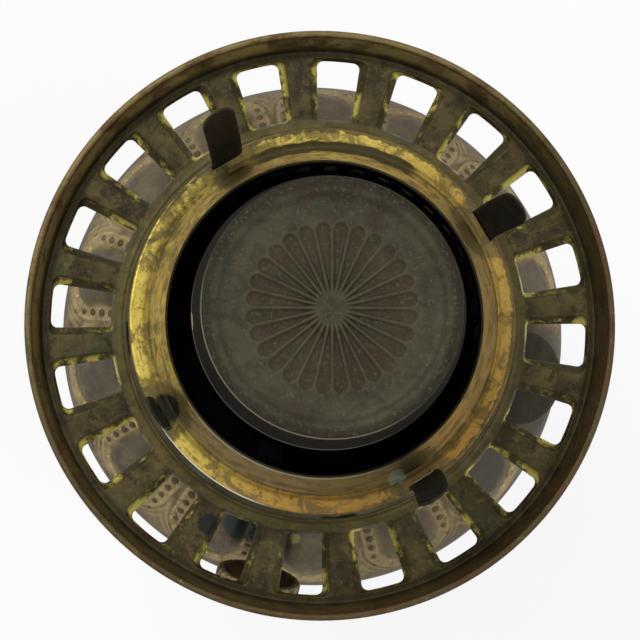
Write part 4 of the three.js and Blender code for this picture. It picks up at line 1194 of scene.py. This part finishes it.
def spreader_disc():
    rows = np.linspace(0, PETAL_END + PETAL_MARGIN, PETAL_ROWS)
    line = [(radius, FIELD) for radius in rows] + fillet(DISC_CURVE)
    segments = PETALS * PETAL_COLUMNS
    rings, angles = lathe_points(line, segments)
    petal = np.zeros(rings.shape[:2])
    ridge = np.zeros(rings.shape[:2])
    across = np.abs((angles / 360 * PETALS) % 1 - 0.5) * 2
    for i, radius in enumerate(rows[1:], 1):
        width = 2 * math.pi * radius / PETALS
        side = (1 - across) * width / 2
        along = PETAL_END - radius
        round_end = np.clip(1 - (along / (width / 2 + 0.01)), 0, 1)
        end_gap = side - width / 2 * (1 - np.sqrt(np.clip(1 - round_end ** 2, 0, 1)))
        depth = smooth(*PETAL_WALL, end_gap) * smooth(*PETAL_FADE, radius)
        depth *= smooth(*PETAL_STOP, along)
        petal[i] = depth
        crest = bell(end_gap, RIDGE_WIDTH) * smooth(*RIDGE_FADE, radius)
        crest *= smooth(*RIDGE_STOP, along)
        ridge[i] = crest
        rings[i, :, 2] += RIDGE_HEIGHT * crest - PETAL_DEPTH * depth
    piece = ring_mesh("spreader_disc", rings, 60)
    paint_from_rings(piece, rings, {"petal": petal, "ridge": ridge})
    return piece


def paint_from_rings(piece, rings, maps):
    """Carries values of the drawn rings to the vertices that are left after merging."""
    spots = {}
    for i, j in np.ndindex(rings.shape[:2]):
        spots[tuple(np.round(rings[i, j], 2))] = (i, j)
    found = [spots.get(tuple(np.round(np.array(v.co) / MM, 2))) for v in piece.data.vertices]
    for name, values in maps.items():
        set_shares(piece, name, [values[spot] if spot else 0.0 for spot in found])


def spreader_tube():
    low, high = bottom("spreader_thimble"), top("spreader_thimble")
    rest = TUBE_TOP + THIMBLE_GAP
    under = SPREADER_BOTTOM - THIMBLE_GAP
    inner = THIMBLE - THIMBLE_SHEET
    piece = lathe("spreader_tube", [
        (inner, (low + high) / 2), (inner, low, 0.1), (THIMBLE, low, 0.1),
        *raised(THIMBLE_BEAD_CURVE, rest), *raised(THIMBLE_RINGS_CURVE, under),
        (THIMBLE, high, 0.2), (inner, high, 0.1), (inner, (low + high) / 2),
    ])
    holes = []
    for row, height in enumerate(np.linspace(rest + 3, under - 2.6, HOLE_ROWS)):
        hole = oval(HOLE_RADIUS, HOLE_RADIUS, height, 12)
        for k in range(HOLES_PER_ROW):
            azimuth = (k + row % 2 / 2) * 360 / HOLES_PER_ROW
            holes.append(radial_prism(hole, azimuth, inner - 1, THIMBLE + 1))
    return cut(piece, prisms("holes", holes))


# Font

def shoulder_line(rows):
    """Even points from the mouth to the belly, and how far along the curve each one is."""
    span = BELLY_RADIUS - SHOULDER_RADIUS
    rise = SHOULDER_TOP - BELLY
    dense = bezier([
        (SHOULDER_RADIUS, SHOULDER_TOP),
        (SHOULDER_RADIUS + 0.46 * span, SHOULDER_TOP - 0.3 * rise),
        (BELLY_RADIUS, BELLY + 0.25 * rise),
        (BELLY_RADIUS, BELLY),
    ], 400)
    steps = np.linalg.norm(np.diff(dense, axis=0), axis=1)
    length = np.concatenate(([0], np.cumsum(steps)))
    marks = np.linspace(0, length[-1], rows)
    return np.column_stack([np.interp(marks, length, dense[:, k]) for k in (0, 1)]), marks


def arch_distance(across, half, along):
    """Distance outside an arch's outline, negative within it."""
    past = np.maximum(along - ARCH_END, 0) * ARCH_SQUEEZE
    body = np.hypot(across, past) - half
    return np.maximum(body, ARCH_START - along)


def filler_distance(x, y):
    """How far a place is from the filler, seen from above."""
    middle = Vector(joint("filler_cap_turn")["pos_m"]) / MM
    return np.hypot(x - middle.x, y - middle.y)


def shoulder_shell():
    line, marks = shoulder_line(SHOULDER_ROWS)
    segments = ARCHES * ARCH_COLUMNS
    hem = BELLY - SHOULDER_HEM
    inside_radius = BELLY_RADIUS - SHOULDER_SHEET
    lining = shoulder_line(LINING_ROWS)[0][-2::-1]
    loop = [
        *line, (BELLY_RADIUS, hem + SHOULDER_HEM_ROUND), (BELLY_RADIUS - SHOULDER_HEM_ROUND, hem),
        (inside_radius, hem), (inside_radius, BELLY),
        *[(radius - LINING_INWARD, height - LINING_DOWN) for radius, height in lining],
        (SHOULDER_MOUTH, SHOULDER_TOP - SHOULDER_LIP), (SHOULDER_MOUTH, SHOULDER_TOP), line[0],
    ]
    rings, angles = lathe_points(loop, segments)
    slope = np.gradient(line, axis=0)
    normal = np.column_stack((-slope[:, 1], slope[:, 0]))
    normal /= np.linalg.norm(normal, axis=1)[:, None]
    normal *= np.where(normal[:, 1:] < 0, -1, 1)
    turn = (angles - ARCH_AZIMUTH + 180 / ARCHES) % (360 / ARCHES) - 180 / ARCHES
    cosines, sines = np.cos(np.radians(angles)), np.sin(np.radians(angles))
    arch = np.zeros(rings.shape[:2])
    relief = np.zeros(rings.shape[:2])
    for i, ((radius, _), along) in enumerate(zip(line, marks)):
        across = np.radians(np.abs(turn)) * radius
        gap = arch_distance(across, math.radians(ARCH_HALF) * radius, along)
        shown = smooth(PLAIN_REACH, PLAIN_EDGE, filler_distance(rings[i, :, 0], rings[i, :, 1]))
        rib = bell(gap - RIB_OFFSET, RIB_WIDTH) * smooth(*RIB_START, along)
        for offset in PLUME_OFFSETS:
            plume = PLUME_SHARE * bell(gap - offset, RIB_WIDTH) * smooth(*PLUME_START, along)
            rib = np.maximum(rib, plume)
        rib *= smooth(*RIB_END, along)
        strip = smooth(*STRIP_START, gap) * smooth(*STRIP_END, gap)
        arch[i] = 1 - (1 - smooth(*PANEL_TONE, gap)) * shown
        relief[i] = np.maximum(rib, STRIP_SHARE * strip) * shown
        lift = ARCH_HEIGHT * smooth(*PANEL_EDGE, gap) + RIB_HEIGHT * rib + STRIP_HEIGHT * strip
        lift = (lift - CREASE_DEPTH * bell(gap - CREASE_OFFSET, CREASE_WIDTH)) * shown
        rings[i, :, 0] += lift * normal[i, 0] * cosines
        rings[i, :, 1] += lift * normal[i, 0] * sines
        rings[i, :, 2] += lift * normal[i, 1]
    piece = ring_mesh("shoulder_shell", rings, 70)
    paint_from_rings(piece, rings, {"arch": arch, "relief": relief})
    return piece


def shoulder_beads():
    """Rows of small domes round each arch."""
    line, marks = shoulder_line(200)

    def at(along):
        return np.array([np.interp(along, marks, line[:, k]) for k in (0, 1)])

    def aside(along):
        return math.radians(ARCH_HALF) * at(along)[0] + BEAD_OFFSET

    outline = []
    for along in np.arange(BEAD_END, ARCH_START, -BEAD_PITCH):
        size = np.interp(along, (ARCH_START, BEAD_END), BEAD_RADII)
        outline += [(along, aside(along), size), (along, -aside(along), size)]
    count = round(math.pi * aside(ARCH_END) / ARCH_SQUEEZE / END_BEAD_PITCH)
    for angle in np.linspace(0, math.pi, count + 1):
        if math.sin(angle) >= END_BEAD_START:
            along = ARCH_END + aside(ARCH_END) / ARCH_SQUEEZE * math.sin(angle)
            outline.append((along, aside(ARCH_END) * math.cos(angle), END_BEAD_RADIUS))

    vertices, faces, dots = [], [], []
    for arch in range(ARCHES):
        centre = math.radians(ARCH_AZIMUTH + arch * 360 / ARCHES)
        for along, across, size in outline:
            radius, height = at(along)
            slope = at(along + BEAD_STEP) - at(along)
            slope /= np.linalg.norm(slope)
            angle = centre + across / radius
            radial = np.array((math.cos(angle), math.sin(angle), 0))
            sideways = np.array((-math.sin(angle), math.cos(angle), 0))
            down = radial * slope[0] + np.array((0, 0, slope[1]))
            out = np.cross(sideways, down)
            out *= 1 if out[2] >= 0 else -1
            middle = radial * radius + np.array((0, 0, height))
            if filler_distance(*middle[:2]) < PLAIN_EDGE:
                continue
            base = len(vertices)
            for reach, rise in BEAD_RINGS:
                for k in range(BEAD_SIDES):
                    turn = 2 * math.pi * k / BEAD_SIDES
                    spread = sideways * math.cos(turn) + down * math.sin(turn)
                    vertices.append(middle + size * (spread * reach + out * BEAD_RISE * rise))
            vertices.append(middle + size * out * BEAD_RISE)
            # The larger beads get dark tops: tarnish, and painted dark reflection.
            dark = float(size > END_BEAD_RADIUS)
            dots += [0.0] * 2 * BEAD_SIDES + [dark] * (BEAD_SIDES * (len(BEAD_RINGS) - 2) + 1)
            faces.append(tuple(base + k for k in reversed(range(BEAD_SIDES))))
            faces += grid_faces(len(BEAD_RINGS), BEAD_SIDES, start=base)
            ring = base + (len(BEAD_RINGS) - 1) * BEAD_SIDES
            for k in range(BEAD_SIDES):
                faces.append((ring + k, ring + (k + 1) % BEAD_SIDES, ring + BEAD_SIDES))
    piece = place_mesh("shoulder_beads", vertices, faces, 80)
    set_shares(piece, "dot", dots)
    set_shares(piece, "relief", [1.0 - dot for dot in dots])
    return piece


def font_bowl():
    low = bottom("font_bowl")
    rim = BELLY_RADIUS - BOWL_GAP
    corners = [
        (BOWL_FOOT, low), (BELLY_RADIUS - BOWL_FLAT, low),
        (rim, low + BOWL_RISE), (rim, BELLY - SHOULDER_HEM),
    ]
    outer = [tuple(point) for point in bezier(corners, BOWL_ROWS)]
    inner = [(radius - BOWL_SHEET, height + 0.55) for radius, height in reversed(outer)]
    start = (BOWL_HOLE, low + 0.3)
    line = [
        start, (BOWL_HOLE, low, 0.2), *outer, (rim, BELLY - 0.1), (rim - BOWL_SHEET, BELLY - 0.1),
        *inner, (BOWL_HOLE, low + 0.7, 0.1), start,
    ]
    return lathe("bowl_shell", line, FINE)


def air_foot():
    piece = lathe("foot_shell", FOOT_CURVE, FOOT_FACETS)
    hole = oval(FOOT_HOLE_WIDTH, FOOT_HOLE_HEIGHT, FOOT_TOP / 2)
    azimuths = [k * 360 / FOOT_HOLES for k in range(FOOT_HOLES)]
    holes = [radial_prism(hole, azimuth, FOOT_HOLE_INNER, FOOT_HOLE_OUTER) for azimuth in azimuths]
    return cut(piece, prisms("foot_holes", holes))


def gallery_skirt():
    low, high = bottom("gallery_skirt"), top("gallery_skirt")
    inner, outer = SKIRT_OUTER - SKIRT_SHEET, SKIRT_OUTER
    middle = (low + high) / 2
    piece = lathe("skirt_shell", [
        (inner, middle), (inner, low, 0.1), (outer, low, 0.1), (outer, high - SKIRT_SHEET, 0.3),
        (SKIRT_FLANGE, high - SKIRT_SHEET, 0.1), (SKIRT_FLANGE, high, 0.1), (inner, high, 0.3),
        (inner, middle),
    ], SKIRT_FACETS)
    start, stop = top("burner_drum") + SKIRT_SLOT_LOW, high - SKIRT_SLOT_HIGH
    slot = oval(SKIRT_SLOT_HALF, (stop - start) / 2, (stop + start) / 2, 16, 0.6)
    cuts = []
    for k in range(SKIRT_SLOTS):
        azimuth = k * 360 / SKIRT_SLOTS + RAISER_AZIMUTH
        cuts.append(radial_prism(slot, azimuth, inner - 1, outer + 1))
    centre, _ = raiser_frame()
    slope = math.radians(RAISER_SLOPE)
    reach = NOTCH_RADIUS / math.cos(slope) + NOTCH_CLEARANCE
    out = inner - math.hypot(centre.x, centre.y) / MM
    at_wall = centre.z / MM - out * math.tan(slope)
    notch = []
    for angle in np.linspace(0, math.pi, NOTCH_STEPS):
        notch.append((reach * math.cos(angle), at_wall + reach * math.sin(angle)))
    notch += [(-reach, low - 3), (reach, low - 3)]
    skirt = cut(piece, prisms("skirt_slots", cuts))
    notch_prism = radial_prism(notch, RAISER_AZIMUTH, inner - 1, outer + 1)
    return cut(skirt, prisms("skirt_notch", [notch_prism]))


# Raiser and filler

def joint(name):
    return next(j for j in frame["joints"] if j["name"] == name)


def raiser_frame():
    """The middle of the pinion, and the way out along the shaft."""
    turn = joint("raiser_turn")
    return Vector(turn["pos_m"]), -Vector(turn["axis"])


def set_frame(piece, centre, axis):
    turn = Vector((0, 0, 1)).rotation_difference(axis).to_matrix().to_4x4()
    piece.data.transform(Matrix.Translation(centre) @ turn)
    return piece


def knob_distance():
    """How far out along the shaft the knob's near face is."""
    centre, axis = raiser_frame()
    low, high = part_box("raiser_knob")
    return ((low + high) / 2 - centre).dot(axis) / MM - 2


def knurled(name, line, rows, depth_share, smooth_angle):
    """A turned piece with narrow grooves across the marked rows of its outline."""
    segments = KNURLS * KNURL_FACETS
    rings, _ = lathe_points(line, segments)
    groove = 1 - depth_share * (np.arange(segments) % KNURL_FACETS < KNURL_FACETS / 2)
    rings[rows, :, :2] *= groove[:, None]
    return ring_mesh(name, rings, smooth_angle)


def raiser_knob():
    line = fillet(raised(KNOB_CURVE, knob_distance()))
    rows = [radius > KNOB_RADIUS - KNOB_KNURL_REACH for radius, _ in line]
    piece = knurled("knob_disc", line, rows, KNOB_KNURL_SHARE, 30)
    radii = [math.hypot(vertex.co.x, vertex.co.y) / MM for vertex in piece.data.vertices]
    set_shares(piece, "rim", [smooth(*KNOB_TONE, radius) for radius in radii])
    return set_frame(piece, *raiser_frame())


def raiser_shaft():
    line = [*PINION_CURVE, *raised(SHAFT_CURVE, knob_distance())]
    return set_frame(lathe("shaft_rod", line, SMALL), *raiser_frame())


def filler_cap():
    turn = joint("filler_cap_turn")
    line = fillet(CAP_CURVE)
    low, high = CAP_KNURL_HEIGHTS
    rows = [low < height < high and radius > CAP_KNURL_RADIUS for radius, height in line]
    piece = knurled("cap_dome", line, rows, CAP_KNURL_SHARE, 40)
    return set_frame(piece, Vector(turn["pos_m"]), Vector(turn["axis"]))


def wick_piece():
    low, high = bottom("wick"), top("wick")
    random.seed(RANDOM_SEED)
    rings, _ = lathe_points(fillet(tube_line(WICK_INNER, WICK_OUTER, low, high, 0.5)), FINE)
    ragged = [random.uniform(-WICK_FRAY, 0.0) for _ in range(FINE)]
    for i in range(len(rings)):
        if rings[i, 0, 2] > high - 1:
            rings[i, :, 2] += ragged
    return ring_mesh("wick_tube", rings)


# The object

show(gallery_ring(), "gallery", "gallery", "old_brass", "gallery_ring")
show(chimney_seat(), "seat", "gallery", "worn_brass", "chimney_seat")
show(gallery_skirt(), "skirt", "gallery", "old_brass", "gallery_skirt")
for index, (azimuth, tip, lean) in enumerate(zip(PRONG_AZIMUTHS, PRONG_TIPS, PRONG_LEANS), 1):
    prong = prong_piece(f"prong_{index}", azimuth, tip, lean)
    show(prong, "spring", "gallery", "dark_spring", f"chimney_prong_{index}")

show(spreader_disc(), "slate", "flame_spreader", "slate_cap", "spreader_cap")
show(spreader_tube(), "soot", "flame_spreader", "sooty_brass", "spreader_thimble")

show(shoulder_shell(), "font", "font", "plated_font", "font_shoulder")
show(shoulder_beads(), "font", "font", "plated_font")
show(font_bowl(), "font", "font", "plated_font", "font_bowl")
show(air_foot(), "brass", "font", "old_brass", "air_foot")
for node in ("draft_tube", "outer_wick_tube"):
    low_corner, high_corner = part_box(node)
    outer_radius = high_corner.x / MM
    inner_radius = outer_radius - TUBE_SHEET
    line = tube_line(inner_radius, outer_radius, low_corner.z / MM, high_corner.z / MM)
    pipe = lathe(node.replace("_tube", "_pipe"), line)
    show(pipe, "soot", "font", "sooty_brass", node)

show(raiser_knob(), "knob", "wick_raiser", "brown_knob", "raiser_knob")
show(raiser_shaft(), "brass", "wick_raiser", "old_brass", "raiser_shaft")
show(filler_cap(), "cap", "filler_cap", "plated_font", "filler_cap")
show(wick_piece(), "wick", "wick_carriage", "wick_cotton", "wick")

for node, finish in (
    ("burner_drum", "drum"), ("rack_housing", "soot"), ("filler_neck", "brass"),
    ("filler_gasket", "cork"), ("shaft_bushing", "brass"), ("shaft_packing", "packing"),
    ("packing_nut", "brass"), ("raiser_pinion", "bright"), ("wick_rack", "bright"),
    ("wick_carrier", "bright"),
):
    dress(frame["nodes"][node], finish)


# Floor, light and camera

FLOOR_SIZE = 6.0
FLOOR_COLOUR = (0.85, 0.85, 0.85, 1)
FLOOR_GLOW = 0.86
SKY_LIGHT = 0.42
LAMP_AIM = (0, 0, 0.09)
LAMPS = (
    ("key", (-0.34, 0.38, 0.85), 0.45, 5),
    ("fill", (0.5, -0.25, 0.65), 0.5, 1.8),
)
CAMERA_PLACE = (-21.7, -31.2)
CAMERA_RISE = 418
CAMERA_AIM = (-0.32, 0.49)
FOCAL_PIXELS = 2303
FRAME_PIXELS = 640
SENSOR = 36


def seen_share(tree):
    """1 for rays from the camera, a mirror or glass, and 0 for the rest."""
    path = add_node(tree, "ShaderNodeLightPath", {}).outputs
    share = path["Is Camera Ray"]
    for name in ("Is Glossy Ray", "Is Transmission Ray"):
        inputs = {0: share, 1: path[name]}
        share = add_node(tree, "ShaderNodeMath", inputs, operation="MAXIMUM").outputs[0]
    return share


def blend(tree, share, unseen, seen, output):
    """One shader for light on the object and another for what the camera sees."""
    inputs = {0: share, 1: unseen.outputs[0], 2: seen.outputs[0]}
    mixed = add_node(tree, "ShaderNodeMixShader", inputs)
    tree.links.new(mixed.outputs[0], tree.nodes[output].inputs["Surface"])


def pale_floor():
    half = FLOOR_SIZE / 2
    corners = [(-half, -half, 0), (half, -half, 0), (half, half, 0), (-half, half, 0)]
    mesh = bpy.data.meshes.new("floor")
    mesh.from_pydata(corners, [], [(0, 1, 2, 3)])
    floor = bpy.data.objects.new("floor", mesh)
    bpy.context.scene.collection.objects.link(floor)
    material = bpy.data.materials.new("floor")
    material.use_nodes = True
    tree = material.node_tree
    diffuse = tree.nodes["Principled BSDF"]
    diffuse.inputs["Base Color"].default_value = FLOOR_COLOUR
    diffuse.inputs["Roughness"].default_value = 1
    diffuse.inputs["Specular IOR Level"].default_value = 0
    glow = add_node(tree, "ShaderNodeEmission", {"Strength": 1.0})
    inputs = {0: seen_share(tree), 1: FLOOR_GLOW}
    share = add_node(tree, "ShaderNodeMath", inputs, operation="MULTIPLY").outputs[0]
    blend(tree, share, diffuse, glow, "Material Output")
    mesh.materials.append(material)


def sky():
    world = bpy.data.worlds.new("sky")
    bpy.context.scene.world = world
    world.use_nodes = True
    tree = world.node_tree
    light = tree.nodes["Background"]
    light.inputs["Color"].default_value = (1, 1, 1, 1)
    light.inputs["Strength"].default_value = SKY_LIGHT
    seen = add_node(tree, "ShaderNodeBackground", {"Strength": 1.0, "Color": (1, 1, 1, 1)})
    blend(tree, seen_share(tree), light, seen, "World Output")


def soft_lamp(name, place, size, power):
    data = bpy.data.lights.new(name, "AREA")
    data.size = size
    data.energy = power
    lamp = bpy.data.objects.new(name, data)
    lamp.location = place
    lamp.rotation_euler = (Vector(LAMP_AIM) - lamp.location).to_track_quat("-Z", "Y").to_euler()
    bpy.context.scene.collection.objects.link(lamp)


def camera():
    place = Vector((*CAMERA_PLACE, RIM_TOP + CAMERA_RISE)) * MM
    aim = Vector((*CAMERA_AIM, RIM_TOP)) * MM
    data = bpy.data.cameras.new("camera")
    data.sensor_width = SENSOR
    data.lens = FOCAL_PIXELS / FRAME_PIXELS * SENSOR
    data.clip_start = 0.01
    item = bpy.data.objects.new("camera", data)
    back = (place - aim).normalized()
    right = Vector((0, 1, 0)).cross(back).normalized()
    up = back.cross(right)
    item.matrix_world = Matrix.Translation(place) @ Matrix((right, up, back)).transposed().to_4x4()
    bpy.context.scene.collection.objects.link(item)
    bpy.context.scene.camera = item


pale_floor()
sky()
for lamp in LAMPS:
    soft_lamp(*lamp)
camera()
bpy.context.scene.view_settings.view_transform = "Standard"
